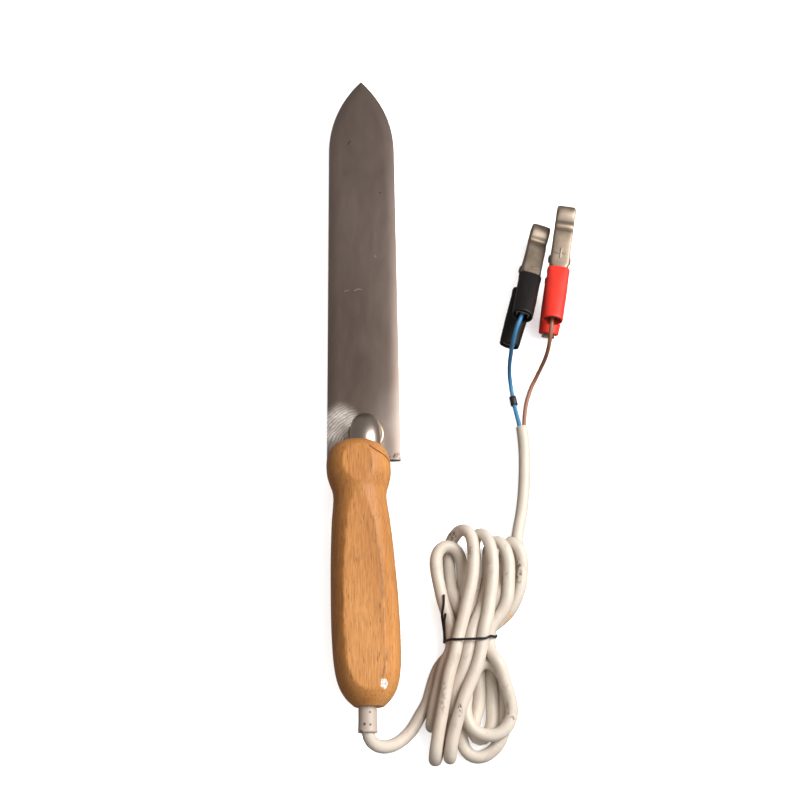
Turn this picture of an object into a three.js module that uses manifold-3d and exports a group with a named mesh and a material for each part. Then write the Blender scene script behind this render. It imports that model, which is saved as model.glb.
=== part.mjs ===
// Electric uncapping knife: a hollow heated blade on a bent steel shank, a turned wooden
// handle, and a low-voltage lead tied in a hank with two battery clips on its end.
// Millimetres, +Z up. The knife lies on the underside of its blade with the tip towards +Y.
import * as THREE from 'three';
import { mergeVertices } from 'three/addons/utils/BufferGeometryUtils.js';
import Module from 'manifold-3d';

const wasm = await Module();
wasm.setup();

// ---------- driving dimensions ----------
const FIT = 0.3; // gap kept between pieces that touch on the real object

const BLADE = {
  tipY: 185, baseY: -53, shoulderY: 138, baseHalf: 19.9, shoulderHalf: 19.1,
  tipControlX: 18.5, tipControlDrop: 20, lowerPlate: 1, height: 4,
  crownWidth: 6, crownDrop: 2.2, rim: 4, roof: 0.8, stripLength: 2,
};
const HEATER = { halfSpan: 12, runWidth: 3, farY: 138, nearY: -20, endY: -32, foil: 0.4, mica: 0.3 };
const SHANK = { x: 1.3, y: -38.5, outer: 8, wall: 1, axisZ: 23, bend: 10, tailY: -110 };
const HANDLE = { frontY: -50, buttY: -185, axisZ: 23, headX: -2.2, headY: -66, skew: 0.0364 };
const GRIP_FLAT = { depth: 13.6, y: -131, length: 104 };
const HEAD_FLAT = { depth: 14.9, y: -62, length: 26 };
const CAVITY = { radius: 6.6, endY: -173 };
const CORD = { radius: 3.175, sides: 10 };
const SLEEVE = { frontY: -175, endY: -197.5, outer: 4.55, flare: 0.25 };
const CORE = { radius: 1.15, sides: 8 };
const BAND = { at: [82.15, -20.2, 2.15], halfLength: 2.6, wall: 0.45, gap: 0.45, turn: 9 };
const HANK = { height: 20, tieY: -151.5, tieGroove: 2.4 };
const TIE_RADIUS = 0.9;
const LEVER = {
  width: 10.6, innerWidth: 8, sheet: 0.8, handleWidth: 7.2, handleHeight: 4, handleAngle: 13,
  handleStart: -8, handleEnd: -40.5, handleZ: 6.6, jawEnd: 32,
};
const PIN = { radius: 1.3, headRadius: 2.2, headThickness: 0.7 };
const PVC = { halfWidth: 5.6, halfHeight: 4.2, wall: 0.9, frontY: -8.6, endY: -42 };
const SPRING = { wire: 0.5, radius: 2.5, turns: 3, pitch: 1.15, leg: 15 };
const CRIMP = { halfWidth: 1.9, frontY: -17, backY: -23, bottom: -1.5, top: 0.3 };
const CLIPS = {
  red: { x: 109.8, y: 56, z: 19.8, yaw: -10.3, pitch: 2, roll: -1, slide: 0.1 },
  black: { x: 93.6, y: 51.6, z: 14.4, yaw: -15, pitch: -13, roll: 7, slide: 0 },
};

// ---------- materials ----------
function finish(color, roughness, metalness) {
  return new THREE.MeshStandardMaterial({ color, roughness, metalness });
}
const steel = finish(0x8d857f, 0.3, 1);
const wood = finish(0xc98b45, 0.4, 0);
const cream = finish(0xe6d9c4, 0.45, 0);
const blackPlastic = finish(0x1d1a19, 0.45, 0);
const redPlastic = finish(0xe03a2e, 0.4, 0);
const bluePlastic = finish(0x3f86c4, 0.4, 0);
const brownPlastic = finish(0x8a5a40, 0.45, 0);
const nickel = finish(0xa39684, 0.3, 1);
const mica = finish(0xb9a77c, 0.6, 0);
const brass = finish(0xb5934c, 0.35, 1);

// ---------- small helpers ----------
const degrees = THREE.MathUtils.degToRad;

function toSolid(geometry) {
  const bare = geometry.clone();
  bare.deleteAttribute('normal');
  bare.deleteAttribute('uv');
  const merged = mergeVertices(bare, 1e-4);
  const vertProperties = new Float32Array(merged.attributes.position.array);
  const triVerts = new Uint32Array(merged.index.array);
  return new wasm.Manifold(new wasm.Mesh({ numProp: 3, vertProperties, triVerts }));
}

function fromSolid(solid) {
  const { vertProperties, triVerts } = solid.getMesh();
  const geometry = new THREE.BufferGeometry();
  geometry.setAttribute('position', new THREE.BufferAttribute(new Float32Array(vertProperties), 3));
  geometry.setIndex(new THREE.BufferAttribute(new Uint32Array(triVerts), 1));
  return geometry;
}

function cut(geometry, ...tools) {
  const body = tools.reduce((left, tool) => left.subtract(toSolid(tool)), toSolid(geometry));
  return fromSolid(body);
}

function join(...geometries) {
  return fromSolid(geometries.map(toSolid).reduce((sum, solid) => sum.add(solid)));
}

function common(a, b) {
  return fromSolid(toSolid(a).intersect(toSolid(b)));
}

function slab(shape, bottom, top, curveSegments = 10) {
  const geometry = new THREE.ExtrudeGeometry(shape, { depth: top - bottom, bevelEnabled: false, curveSegments });
  return geometry.translate(0, 0, bottom);
}

function box(x0, x1, y0, y1, z0, z1) {
  const geometry = new THREE.BoxGeometry(x1 - x0, y1 - y0, z1 - z0);
  return geometry.translate((x0 + x1) / 2, (y0 + y1) / 2, (z0 + z1) / 2);
}

function polygon(points) {
  return new THREE.Shape(points.map(([x, y]) => new THREE.Vector2(x, y)));
}

function ellipse(halfWidth, halfHeight, sides) {
  const turn = (2 * Math.PI) / sides;
  const at = (i) => [halfWidth * Math.cos(i * turn), halfHeight * Math.sin(i * turn)];
  return Array.from({ length: sides }, (_, i) => at(i));
}

// A rod or, with a bore, a tube along +Y between two heights of Y.
function rodAlongY(y0, y1, radius, bore = 0, sides = 20) {
  const shape = polygon(ellipse(radius, radius, sides));
  if (bore) shape.holes.push(polygon(ellipse(bore, bore, sides).reverse()));
  const geometry = new THREE.ExtrudeGeometry(shape, { depth: y1 - y0, bevelEnabled: false });
  return geometry.rotateX(-Math.PI / 2).translate(0, y0, 0);
}

function sweep(curve, radius, sides, steps, bore = 0) {
  const shape = polygon(ellipse(radius, radius, sides));
  if (bore) shape.holes.push(polygon(ellipse(bore, bore, sides).reverse()));
  return new THREE.ExtrudeGeometry(shape, { extrudePath: curve, steps, bevelEnabled: false });
}

function route(points) {
  return new THREE.CatmullRomCurve3(points.map((p) => new THREE.Vector3(...p)), false, 'centripetal');
}

function turned(profile, sides) {
  return new THREE.LatheGeometry(profile.map(([r, y]) => new THREE.Vector2(r, y)), sides);
}

const knife = new THREE.Group();

function add(name, geometry, material, parent = knife) {
  const mesh = new THREE.Mesh(geometry, material);
  mesh.name = name;
  parent.add(mesh);
  return mesh;
}

// ---------- blade ----------
// The outline tapers from the base to the shoulder and closes in a curved point.
function bladeOutline(inset, baseY) {
  const { tipY, shoulderY, baseHalf, shoulderHalf, tipControlX, tipControlDrop } = BLADE;
  const tip = tipY - 1.5 * inset;
  const shape = new THREE.Shape();
  shape.moveTo(inset - baseHalf, baseY);
  shape.lineTo(baseHalf - inset, baseY);
  shape.lineTo(shoulderHalf - inset, shoulderY);
  shape.quadraticCurveTo(tipControlX - inset, tipY - tipControlDrop - inset * 0.5, 0, tip);
  shape.quadraticCurveTo(inset - tipControlX, tipY - tipControlDrop - inset * 0.5, inset - shoulderHalf, shoulderY);
  return shape;
}

function upperShell() {
  const { baseY, tipY, height, lowerPlate, crownWidth, crownDrop, rim, roof } = BLADE;
  const overrun = 12;
  const core = 1;
  const crowned = new THREE.ExtrudeGeometry(bladeOutline(crownWidth, baseY - overrun), {
    depth: core, bevelThickness: crownDrop, bevelSize: crownWidth, bevelSegments: 4, curveSegments: 10,
  });
  crowned.translate(0, 0, height - crownDrop - core);
  const bottom = lowerPlate + FIT;
  const trimmed = common(crowned, box(-30, 30, baseY, tipY + 5, bottom, height + 1));
  const cavity = slab(bladeOutline(rim, baseY - overrun), bottom - 1, height - roof);
  const shankHole = new THREE.CylinderGeometry(SHANK.outer + FIT, SHANK.outer + FIT, 6, 24);
  shankHole.rotateX(Math.PI / 2).translate(SHANK.x, SHANK.y, height);
  return cut(trimmed, cavity, shankHole);
}

function heaterFoil() {
  const { halfSpan, runWidth, farY, nearY, endY, foil } = HEATER;
  const half = runWidth / 2;
  const inner = halfSpan / 3;
  const right = [
    [inner - half, nearY - half], [inner - half, farY + half], [halfSpan + half, farY + half],
    [halfSpan + half, endY - half], [inner - half, endY - half], [inner - half, endY + half],
    [halfSpan - half, endY + half], [halfSpan - half, farY - half], [inner + half, farY - half],
    [inner + half, nearY + half],
  ];
  const left = right.map(([x, y]) => [-x, y]).reverse();
  const lower = [[half - inner, nearY + half], [inner - half, nearY + half]];
  const outline = [...right.slice(1, 9), [inner + half, nearY - half], [-inner - half, nearY - half],
    ...left.slice(1, 9), ...lower];
  const bottom = BLADE.lowerPlate + HEATER.mica + 3 * FIT;
  return slab(polygon(outline), bottom, bottom + foil);
}

function buildBlade() {
  const { baseY, lowerPlate, rim, height, roof, baseHalf, stripLength } = BLADE;
  add('blade_lower_plate', slab(bladeOutline(0, baseY), 0, lowerPlate), steel);
  add('blade_upper_shell', upperShell(), steel);
  const stripHalf = baseHalf - rim - FIT;
  const strip = box(-stripHalf, stripHalf, baseY, baseY + stripLength, lowerPlate + FIT, height - roof - FIT);
  add('blade_end_strip', strip, steel);
  const sheetInset = rim + 2 * FIT;
  const micaBottom = lowerPlate + FIT;
  add('mica_lower_sheet', slab(bladeOutline(sheetInset, baseY + 5), micaBottom, micaBottom + HEATER.mica), mica);
  add('heating_foil', heaterFoil(), brass);
  const micaTop = height - roof - FIT;
  add('mica_upper_sheet', slab(bladeOutline(sheetInset, -29), micaTop - HEATER.mica, micaTop), mica);
}

// ---------- shank ----------
function buildShank() {
  const { x, y, outer, wall, axisZ, bend, tailY } = SHANK;
  const bore = outer - wall;
  const sides = 20;
  const footZ = BLADE.height - BLADE.roof + FIT;
  const elbow = new THREE.CurvePath();
  const bendZ = axisZ - bend;
  const rise = new THREE.Vector3(x, y, bendZ);
  const level = new THREE.Vector3(x, y - bend, axisZ);
  const tangent = 0.5523 * bend;
  elbow.add(new THREE.LineCurve3(new THREE.Vector3(x, y, footZ), rise));
  elbow.add(new THREE.CubicBezierCurve3(rise, new THREE.Vector3(x, y, bendZ + tangent),
    new THREE.Vector3(x, y - bend + tangent, axisZ), level));
  elbow.add(new THREE.LineCurve3(level, new THREE.Vector3(x, y - bend - 3, axisZ)));
  const bent = sweep(elbow, outer, sides, 20, bore);
  const straight = rodAlongY(tailY, y - bend - 1, outer, bore, sides).translate(x, 0, axisZ);
  add('shank_tube', join(bent, straight), steel);
  const ring = turned([[outer + FIT, 0], [outer + 1.4, 0], [outer + FIT, 1.3], [outer + FIT, 0]], 24);
  add('shank_braze_ring', ring.rotateX(Math.PI / 2).translate(x, y, BLADE.height + FIT), brass);
}

// ---------- handle ----------
function handleBlank() {
  const profile = [
    [0, -50], [9.5, -50], [12.6, -52], [15, -55], [16.5, -59.5], [16.8, -64], [16.4, -68.5],
    [15.3, -72.5], [14.2, -76], [13.8, -79.5], [14.1, -84], [15.1, -93], [16.2, -110],
    [17, -132], [17.2, -150], [16.6, -165], [15.4, -172.5], [13.6, -177.5], [11, -181.5],
    [7.4, -185], [0, -185],
  ];
  return turned(profile.reverse(), 28);
}

function handleFlats() {
  const tall = 10;
  const wide = 40;
  return [GRIP_FLAT, HEAD_FLAT].flatMap(({ depth, y, length }) => [1, -1].map((side) => {
    const z = side * (depth + tall / 2);
    return new THREE.BoxGeometry(wide, length, tall).translate(0, y, z);
  }));
}

function buildHandle() {
  const { frontY, buttY, axisZ, headX, headY, skew } = HANDLE;
  const faceted = cut(handleBlank(), ...handleFlats());
  faceted.translate(0, -headY, 0).rotateZ(Math.atan(skew)).translate(headX, headY, axisZ);
  const bores = [
    rodAlongY(SHANK.tailY - 2, frontY + 5, SHANK.outer + FIT, 0, 20).translate(SHANK.x, 0, axisZ),
    rodAlongY(CAVITY.endY, SHANK.tailY, CAVITY.radius, 0, 16).translate(SHANK.x, 0, axisZ),
    rodAlongY(buttY - 5, CAVITY.endY + 2, SLEEVE.outer + FIT, 0, 16).translate(SHANK.x, 0, axisZ),
  ];
  add('handle', cut(faceted, ...bores), wood);
}

// Two element leads run from the foil through the shank to crimp splices in the handle,
// where the two cores of the cord join them.
function buildInnerWiring() {
  const { x, y, axisZ } = SHANK;
  const spliceY = -128;
  const spliceLength = 14;
  const jacketY = -171;
  const wire = 0.8;
  for (const [side, name, material] of [[-1, 'left', bluePlastic], [1, 'right', brownPlastic]]) {
    const offset = 2.6 * side;
    const lead = route([
      [x + offset, y + 2, 3.6], [x + offset, y, 7], [x + offset, y - 3, 15], [x + offset, y - 10, 21.5],
      [x + offset, y - 24, axisZ], [x + offset, y - 50, axisZ], [x + offset, spliceY + FIT, axisZ],
    ]);
    add(`element_lead_${name}`, sweep(lead, wire, 6, 22), mica);
    const splice = rodAlongY(spliceY - spliceLength, spliceY, 1.9, 0, 10);
    add(`crimp_splice_${name}`, splice.translate(x + offset, 0, axisZ), brass);
    const innerCore = rodAlongY(jacketY + FIT, spliceY - spliceLength - FIT, CORE.radius, 0, 8);
    add(`inner_core_${name}`, innerCore.translate(x + 0.55 * offset, 0, axisZ), material);
  }
  const clamp = rodAlongY(-169, -164, CAVITY.radius - 2 * FIT, 3.2, 16);
  add('cord_clamp', clamp.translate(x, 0, axisZ), blackPlastic);
}

function buildEntrySleeve() {
  const { frontY, endY, outer, flare } = SLEEVE;
  const bore = CORD.radius + FIT;
  const profile = [[bore, frontY], [outer, frontY], [outer, HANDLE.buttY], [outer + flare, endY + 1],
    [outer, endY], [bore, endY], [bore, frontY]];
  const sleeve = turned(profile.reverse(), 16);
  add('entry_sleeve', sleeve.translate(SHANK.x, 0, HANDLE.axisZ), cream);
}

// ---------- cord ----------
const LEAD_ROUTE = [
  [1.3, -172, 23], [1.3, -180, 23], [1.3, -188, 23], [1.3, -195, 23], [1.7, -198.6, 22.8], [3.6, -202, 21.4],
  [8.4, -203.6, 17.4], [13.2, -202.6, 13.2], [18, -199.6, 9.2], [22.4, -195.2, 6.2], [25.6, -190.4, 4.4],
  [27.8, -185.6, 3.6],
];
const TAIL_ROUTE = [
  [80.2, -98.2, 3.3], [81.4, -92, 3.3], [83.2, -84, 3.3], [84.8, -74, 3.3], [85.9, -63, 3.3],
  [86.5, -52, 3.3], [86.4, -43, 3.3], [85.8, -35.5, 3.3],
];
const BLUE_ROUTE = [
  [84.4, -34.9, 3.8], [83.5, -29, 2.9], [82.5, -23, 2.3], [81.6, -16, 2.2], [80.9, -11, 3.4],
  [80.2, -7.2, 7], [79.8, -3.8, 13.5], [79.9, -1, 21], [80.3, 1.8, 27.4], [81.2, 5.4, 32.6],
  [82.8, 10, 35.8], [85.3, 15.8, 36.1], [87.4, 22.4, 33.4],
];
const BROWN_ROUTE = [
  [87.2, -34.9, 3.8], [87.9, -28, 2.7], [89.4, -20.8, 1.9], [92.2, -12.8, 2], [94.3, -8.8, 3.4],
  [96.1, -5.8, 6.6], [98, -2.8, 11.8], [99.3, -0.6, 17.6], [100.1, 1.8, 23], [100.7, 4.8, 27.4],
  [101.2, 9, 30.4], [102, 14.6, 31.5], [103.2, 22.6, 30.3],
];

function buildCord() {
  add('cord_lead', sweep(route(LEAD_ROUTE), CORD.radius, CORD.sides, 26), cream);
  add('cord_tail', sweep(route(TAIL_ROUTE), CORD.radius, CORD.sides, 10), cream);
  add('blue_core', sweep(route(BLUE_ROUTE), CORE.radius, CORE.sides, 18), bluePlastic);
  add('brown_core', sweep(route(BROWN_ROUTE), CORE.radius, CORE.sides, 18), brownPlastic);
  const { at, halfLength, wall, gap, turn } = BAND;
  const band = rodAlongY(-halfLength, halfLength, CORE.radius + gap + wall, CORE.radius + gap, CORD.sides);
  band.rotateZ(degrees(turn)).translate(...at);
  add('core_marker_band', band, blackPlastic);
}

// The hank is a bundle of folded turns, wide at both ends and drawn in where the tie holds it.
function buildHank() {
  const outline = new THREE.SplineCurve([
    [33, -110], [38, -97], [50, -91.5], [64, -92.5], [76, -98], [83, -110], [80.4, -125], [70, -141],
    [64.6, -151.5], [68, -163], [74.6, -176], [77.5, -190], [71, -201.5], [60, -209], [46, -212], [33, -210],
    [30, -197], [33.5, -180], [38.5, -165], [41.2, -151.5], [38, -138], [34, -124],
  ].map(([x, y]) => new THREE.Vector2(x, y)));
  const shape = new THREE.Shape(outline.getSpacedPoints(52));
  const { height, tieY, tieGroove } = HANK;
  const groove = box(20, 100, tieY - tieGroove, tieY + tieGroove, -1, 2 * TIE_RADIUS + 2 * FIT);
  add('cord_hank', cut(slab(shape, 0, height), groove), cream);
}

// A stiff coated wire bent once round the hank, with its free ends left standing.
function buildTie() {
  const y = HANK.tieY;
  const r = TIE_RADIUS;
  const left = 39;
  const right = 67;
  const top = HANK.height + r + FIT;
  const under = r + FIT;
  const wire = route([
    [40.6, y + 23.5, top], [40.4, y + 16.5, top], [39.8, y + 10.5, top], [40.2, y + 4.5, top],
    [42.6, y + 0.4, top], [48, y, top], [58, y, top], [right - 2.6, y, top],
    [right - 0.7, y, 20.8], [right, y, 18.8], [right, y, 10], [right - 0.4, y, 3], [right - 3, y, under], [58, y, under],
    [48, y, under], [left + 2.2, y, under], [left - 0.1, y, 3.4], [left - 0.3, y + 1, 10],
    [left - 1.1, y + 4, 15.6], [left - 2.2, y + 8, 18.6],
  ]);
  add('hank_tie_wire', sweep(wire, r, 8, 60), blackPlastic);
}

// ---------- battery clips ----------
// One clip is drawn about its pin: +Y to the jaws, +Z to the upper lever.
function leverSideView() {
  const { handleStart, handleZ, handleHeight, sheet, jawEnd } = LEVER;
  const teeth = [];
  const toothPitch = 2.2;
  for (let i = 0; i < 5; i += 1) {
    const y = 30.8 - toothPitch * i;
    teeth.push([y, 0.2], [y - toothPitch / 2, 1.2]);
  }
  const top = [
    [handleStart, handleZ + handleHeight / 2], [-5, 8.3], [14.2, 6.8], [17.4, 5], [19.6, 5], [22, 6.9],
    [25.4, 7.5], [28.6, 7.1], [31, 5.4], [jawEnd, 2.6], [jawEnd, 0.2],
  ];
  const under = [[19.6, 1.9], [9, 1.9], [5.4, 0.4], [3.2, -2.4], [0, -3.4], [-3.2, -2.4], [-4.6, 1.8],
    [handleStart, handleZ - handleHeight / 2]];
  const jaw = [...top, ...teeth, ...under];
  const inside = top.slice(0, -2).map(([y, z]) => [Math.min(y, jawEnd - sheet), z - sheet]);
  const hollow = [[-12, inside[0][1] + 0.6], ...inside, [jawEnd - sheet, -8], [-12, -8]];
  return { jaw, hollow };
}

// Extrudes a side view given as [y, z] pairs across the width, centred on x = 0.
function across(sideView, width) {
  const geometry = new THREE.ExtrudeGeometry(polygon(sideView), { depth: width, bevelEnabled: false });
  geometry.rotateZ(Math.PI / 2).rotateY(Math.PI / 2);
  return geometry.translate(-width / 2, 0, 0);
}

function alongHandle(geometry) {
  const { handleAngle, handleStart, handleZ } = LEVER;
  return geometry.rotateX(-degrees(handleAngle)).translate(0, handleStart, handleZ);
}

function lever(width) {
  const { sheet, handleWidth, handleHeight, handleStart, handleEnd, handleAngle } = LEVER;
  const { jaw, hollow } = leverSideView();
  const channel = cut(across(jaw, width), across(hollow, width - 2 * sheet));
  const length = (handleStart - handleEnd) / Math.cos(degrees(handleAngle));
  const h = handleHeight / 2;
  const w = handleWidth / 2;
  const shaft = alongHandle(box(-w, w, -length, 1.2, -h, h));
  const trough = alongHandle(box(sheet - w, w - sheet, -length - 1, 3, -h - 1, h - sheet));
  const pinHole = new THREE.CylinderGeometry(PIN.radius + FIT, PIN.radius + FIT, 20, 14).rotateZ(Math.PI / 2);
  return cut(join(channel, cut(shaft, trough)), pinHole);
}

function pivotPin() {
  const { radius, headRadius, headThickness } = PIN;
  const reach = LEVER.width / 2 + FIT;
  const end = reach + headThickness;
  const profile = [[0, -end], [headRadius, -end], [headRadius, -reach], [radius, -reach],
    [radius, reach], [headRadius, reach], [headRadius, end], [0, end]];
  return turned(profile, 14).rotateZ(Math.PI / 2);
}

function pvcSleeve(slide = 0) {
  const { halfWidth, halfHeight, wall, frontY, endY } = PVC;
  const shape = polygon(ellipse(halfWidth, halfHeight, 20));
  shape.holes.push(polygon(ellipse(halfWidth - wall, halfHeight - wall, 20).reverse()));
  const slope = Math.cos(degrees(LEVER.handleAngle));
  const front = (frontY + slide - LEVER.handleStart) / slope;
  const length = (frontY - endY) / slope;
  const tube = new THREE.ExtrudeGeometry(shape, { depth: length, bevelEnabled: false });
  return alongHandle(tube.rotateX(Math.PI / 2).translate(0, front, 0));
}

// A torsion spring on the pin; each leg bears inside one handle.
function torsionSpring() {
  const { wire, radius, turns, pitch, leg } = SPRING;
  const slope = degrees(LEVER.handleAngle);
  const points = [];
  const start = -(pitch * (turns + 0.5)) / 2;
  points.push([start, -leg, leg * Math.tan(slope) + radius], [start, -leg / 2, (leg / 2) * Math.tan(slope) + radius]);
  const perTurn = 10;
  const total = turns * perTurn + perTurn / 2;
  for (let i = 0; i <= total; i += 1) {
    const angle = Math.PI / 2 - (2 * Math.PI * i) / perTurn;
    points.push([start + (pitch * i) / perTurn, radius * Math.cos(angle), radius * Math.sin(angle)]);
  }
  const end = start + (pitch * total) / perTurn;
  points.push([end, -leg / 2, -(leg / 2) * Math.tan(slope) - radius], [end, -leg, -leg * Math.tan(slope) - radius]);
  return sweep(route(points), wire, 6, 64);
}

function wireCrimp() {
  const { halfWidth, frontY, backY, bottom, top } = CRIMP;
  return alongHandle(box(-halfWidth, halfWidth, backY, frontY, bottom, top));
}

function buildClip(colour, sleeveMaterial) {
  const { x, y, z, yaw, pitch, roll, slide } = CLIPS[colour];
  const clip = new THREE.Group();
  clip.position.set(x, y, z);
  clip.rotation.set(degrees(pitch), degrees(roll), degrees(yaw), 'ZXY');
  knife.add(clip);
  const name = (piece) => `${colour}_clip_${piece}`;
  const flipped = (geometry) => geometry.rotateY(Math.PI);
  add(name('upper_lever'), lever(LEVER.width), nickel, clip);
  add(name('lower_lever'), flipped(lever(LEVER.innerWidth)), nickel, clip);
  add(name('pivot_pin'), pivotPin(), nickel, clip);
  add(name('spring'), torsionSpring(), steel, clip);
  add(name('upper_sleeve'), pvcSleeve(), sleeveMaterial, clip);
  add(name('lower_sleeve'), flipped(pvcSleeve(slide)), sleeveMaterial, clip);
  add(name('wire_crimp'), wireCrimp(), brass, clip);
}

buildBlade();
buildShank();
buildHandle();
buildInnerWiring();
buildEntrySleeve();
buildCord();
buildHank();
buildTie();
buildClip('red', redPlastic);
buildClip('black', blackPlastic);

export default knife;
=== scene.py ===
# Electric uncapping knife: a heated steel blade on a bent shank, a turned beech handle, and a
# low-voltage lead tied in a hank, with two battery clips on its end.
# Lengths below are in millimetres, in the frame of the CAD model; mm() turns them into metres.
import math

import bmesh
import bpy
import numpy as np
from mathutils import Matrix, Vector, noise


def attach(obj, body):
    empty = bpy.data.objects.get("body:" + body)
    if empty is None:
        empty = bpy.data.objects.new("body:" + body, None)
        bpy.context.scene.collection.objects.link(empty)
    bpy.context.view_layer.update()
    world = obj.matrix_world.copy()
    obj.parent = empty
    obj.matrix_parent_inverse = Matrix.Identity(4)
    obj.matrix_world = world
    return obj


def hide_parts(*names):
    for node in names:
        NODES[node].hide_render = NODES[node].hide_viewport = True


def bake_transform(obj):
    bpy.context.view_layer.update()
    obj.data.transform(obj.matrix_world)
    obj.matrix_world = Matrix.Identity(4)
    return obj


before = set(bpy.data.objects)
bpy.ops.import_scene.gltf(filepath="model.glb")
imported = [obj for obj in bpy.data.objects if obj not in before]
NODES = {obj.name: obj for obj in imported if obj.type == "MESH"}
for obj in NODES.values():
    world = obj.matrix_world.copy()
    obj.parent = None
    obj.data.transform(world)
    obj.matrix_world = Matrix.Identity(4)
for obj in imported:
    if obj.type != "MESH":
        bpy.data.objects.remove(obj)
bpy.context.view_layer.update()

# ---------- driving dimensions, the same as the CAD model's ----------
FIT = 0.3
BLADE_TIP_Y = 185.0
BLADE_BASE_Y = -53.0
BLADE_SHOULDER_Y = 138.0
BLADE_BASE_HALF = 19.9
BLADE_SHOULDER_HALF = 19.1
BLADE_TIP_CONTROL_X = 18.5
BLADE_TIP_CONTROL_DROP = 20.0
BLADE_TOP = 4.0
BLADE_PLATE = 1.0
CROWN_WIDTH = 6.0
BLADE_RIM = 4.0
BLADE_ROOF = 0.8
CAVITY_TIP_Y = 168.0
SHANK_X = 1.3
SHANK_Y = -38.5
SHANK_RADIUS = 8.0
SHANK_WALL = 1.0
SHANK_BEND = 10.0
SHANK_TAIL_Y = -110.0
AXIS_Z = 23.0
HANDLE_FRONT_Y = -50.0
HANDLE_BUTT_Y = -185.0
HANDLE_HEAD = (-2.2, -66.0)
HANDLE_SKEW = 0.0364
CAVITY_RADIUS = 6.6
CAVITY_END_Y = -173.0
SLEEVE_RADIUS = 4.55
SLEEVE_FRONT_Y = -175.0
SLEEVE_END_Y = -197.5
CORD_RADIUS = 3.175
CORE_RADIUS = 1.15
TIE_Y = -151.5
CLIPS = {
    "red": {"at": (109.8, 56.0, 19.8), "yaw": -10.3, "pitch": 2.0, "roll": -1.0, "slide": 0.1},
    "black": {"at": (93.6, 51.6, 14.4), "yaw": -15.0, "pitch": -13.0, "roll": 7.0, "slide": 0.0},
}

# ---------- dimensions that differ from the CAD model's ----------
# A flatter crown and a slight dome on the blade, an eased rim on its lower plate, a thinner tie,
# and a shorter lower grip on the red clip.
CROWN_DROP = 0.42
BLADE_DOME = 0.22
PLATE_EASE = 0.25
TIE_WIRE = 0.62
LOWER_GRIP_SHORT = {"red": 2.8, "black": 0.0}

EVEN = (1.0, 1.0, 1.0)


def mm(value):
    return np.asarray(value, dtype=float) * 0.001


# ---------- studio ----------
CAMERA_TARGET = (20.0, -17.7, 0.0)
CAMERA_DISTANCE = 700.0
CAMERA_TILT = math.radians(20.0)
CAMERA_YAW = math.radians(1.0)
CAMERA_LENS = 57.3
WORLD_COLOUR = (1.0, 0.93, 0.87, 1.0)
WORLD_STRENGTH = 0.23
FLOOR_HALF = 6.0
FLOOR_Z = -0.0002
FLOOR_WHITE = (0.95, 0.95, 0.95)
# Each light: name, place and target in metres, size, power in watts, colour.
FLOOR_LIGHT = ("floor_light", (0.0, 0.0, 2.0), (0.0, 0.0, 0.0), (12.0, 12.0), 500.0, EVEN)
LIGHTS = [
    ("key", (0.9, 0.25, 0.95), (0.03, -0.02, 0.0), (0.7, 1.2), 26.0, (1.0, 0.985, 0.96)),
    ("top", (0.3, -0.5, 1.5), (0.03, -0.02, 0.0), (1.2, 1.2), 4.0, EVEN),
    ("sheen", (0.68, 0.32, 1.35), (0.0, 0.0, 0.0), (0.45, 0.9), 1.4, (1.0, 0.98, 0.96)),
]


def make_camera():
    heading = Vector((math.sin(CAMERA_YAW), math.cos(CAMERA_YAW), 0.0))
    right = Vector((math.cos(CAMERA_YAW), -math.sin(CAMERA_YAW), 0.0))
    forward = heading * math.sin(CAMERA_TILT) - Vector((0.0, 0.0, math.cos(CAMERA_TILT)))
    up = right.cross(forward)
    data = bpy.data.cameras.new("camera")
    data.lens = CAMERA_LENS
    data.clip_start = 0.01
    camera = bpy.data.objects.new("camera", data)
    turn = Matrix((right, up, -forward)).transposed().to_4x4()
    place = Vector(mm(CAMERA_TARGET)) - forward * CAMERA_DISTANCE * 0.001
    camera.matrix_world = Matrix.Translation(place) @ turn
    bpy.context.scene.collection.objects.link(camera)
    bpy.context.scene.camera = camera


def area_light(name, place, target, size, power, colour, only=None):
    """A rectangular light; with only, it lights and is shadowed by one collection alone."""
    data = bpy.data.lights.new(name, "AREA")
    data.shape = "RECTANGLE"
    data.size, data.size_y = size
    data.energy = power
    data.color = colour
    light = bpy.data.objects.new(name, data)
    light.location = place
    light.rotation_euler = (Vector(target) - Vector(place)).to_track_quat("-Z", "Y").to_euler()
    bpy.context.scene.collection.objects.link(light)
    if only:
        light.light_linking.receiver_collection = only
        light.light_linking.blocker_collection = only


def make_studio():
    scene = bpy.context.scene
    scene.view_settings.view_transform = "Standard"
    world = bpy.data.worlds.new("studio")
    world.use_nodes = True
    background = world.node_tree.nodes["Background"]
    background.inputs["Color"].default_value = WORLD_COLOUR
    background.inputs["Strength"].default_value = WORLD_STRENGTH
    scene.world = world
    for light in LIGHTS:
        area_light(*light)
    make_floor(scene)


def make_floor(scene):
    """A pale floor with a light of its own, kept out of the object's reflections and bounced light."""
    corners = [(x * FLOOR_HALF, y * FLOOR_HALF, FLOOR_Z) for x, y in ((-1, -1), (1, -1), (1, 1), (-1, 1))]
    mesh = bpy.data.meshes.new("floor")
    mesh.from_pydata(corners, [], [(0, 1, 2, 3)])
    floor = bpy.data.objects.new("floor", mesh)
    floor.visible_diffuse = False
    floor.visible_glossy = False
    backdrop = bpy.data.collections.new("backdrop")
    backdrop.objects.link(floor)
    scene.collection.objects.link(floor)
    area_light(*FLOOR_LIGHT, only=backdrop)
    paper = Finish("floor_paper", {"Roughness": 0.9, "Specular IOR Level": 0.1})
    paper.paint("Base Color", FLOOR_WHITE)
    floor.data.materials.append(paper.material)


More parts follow.
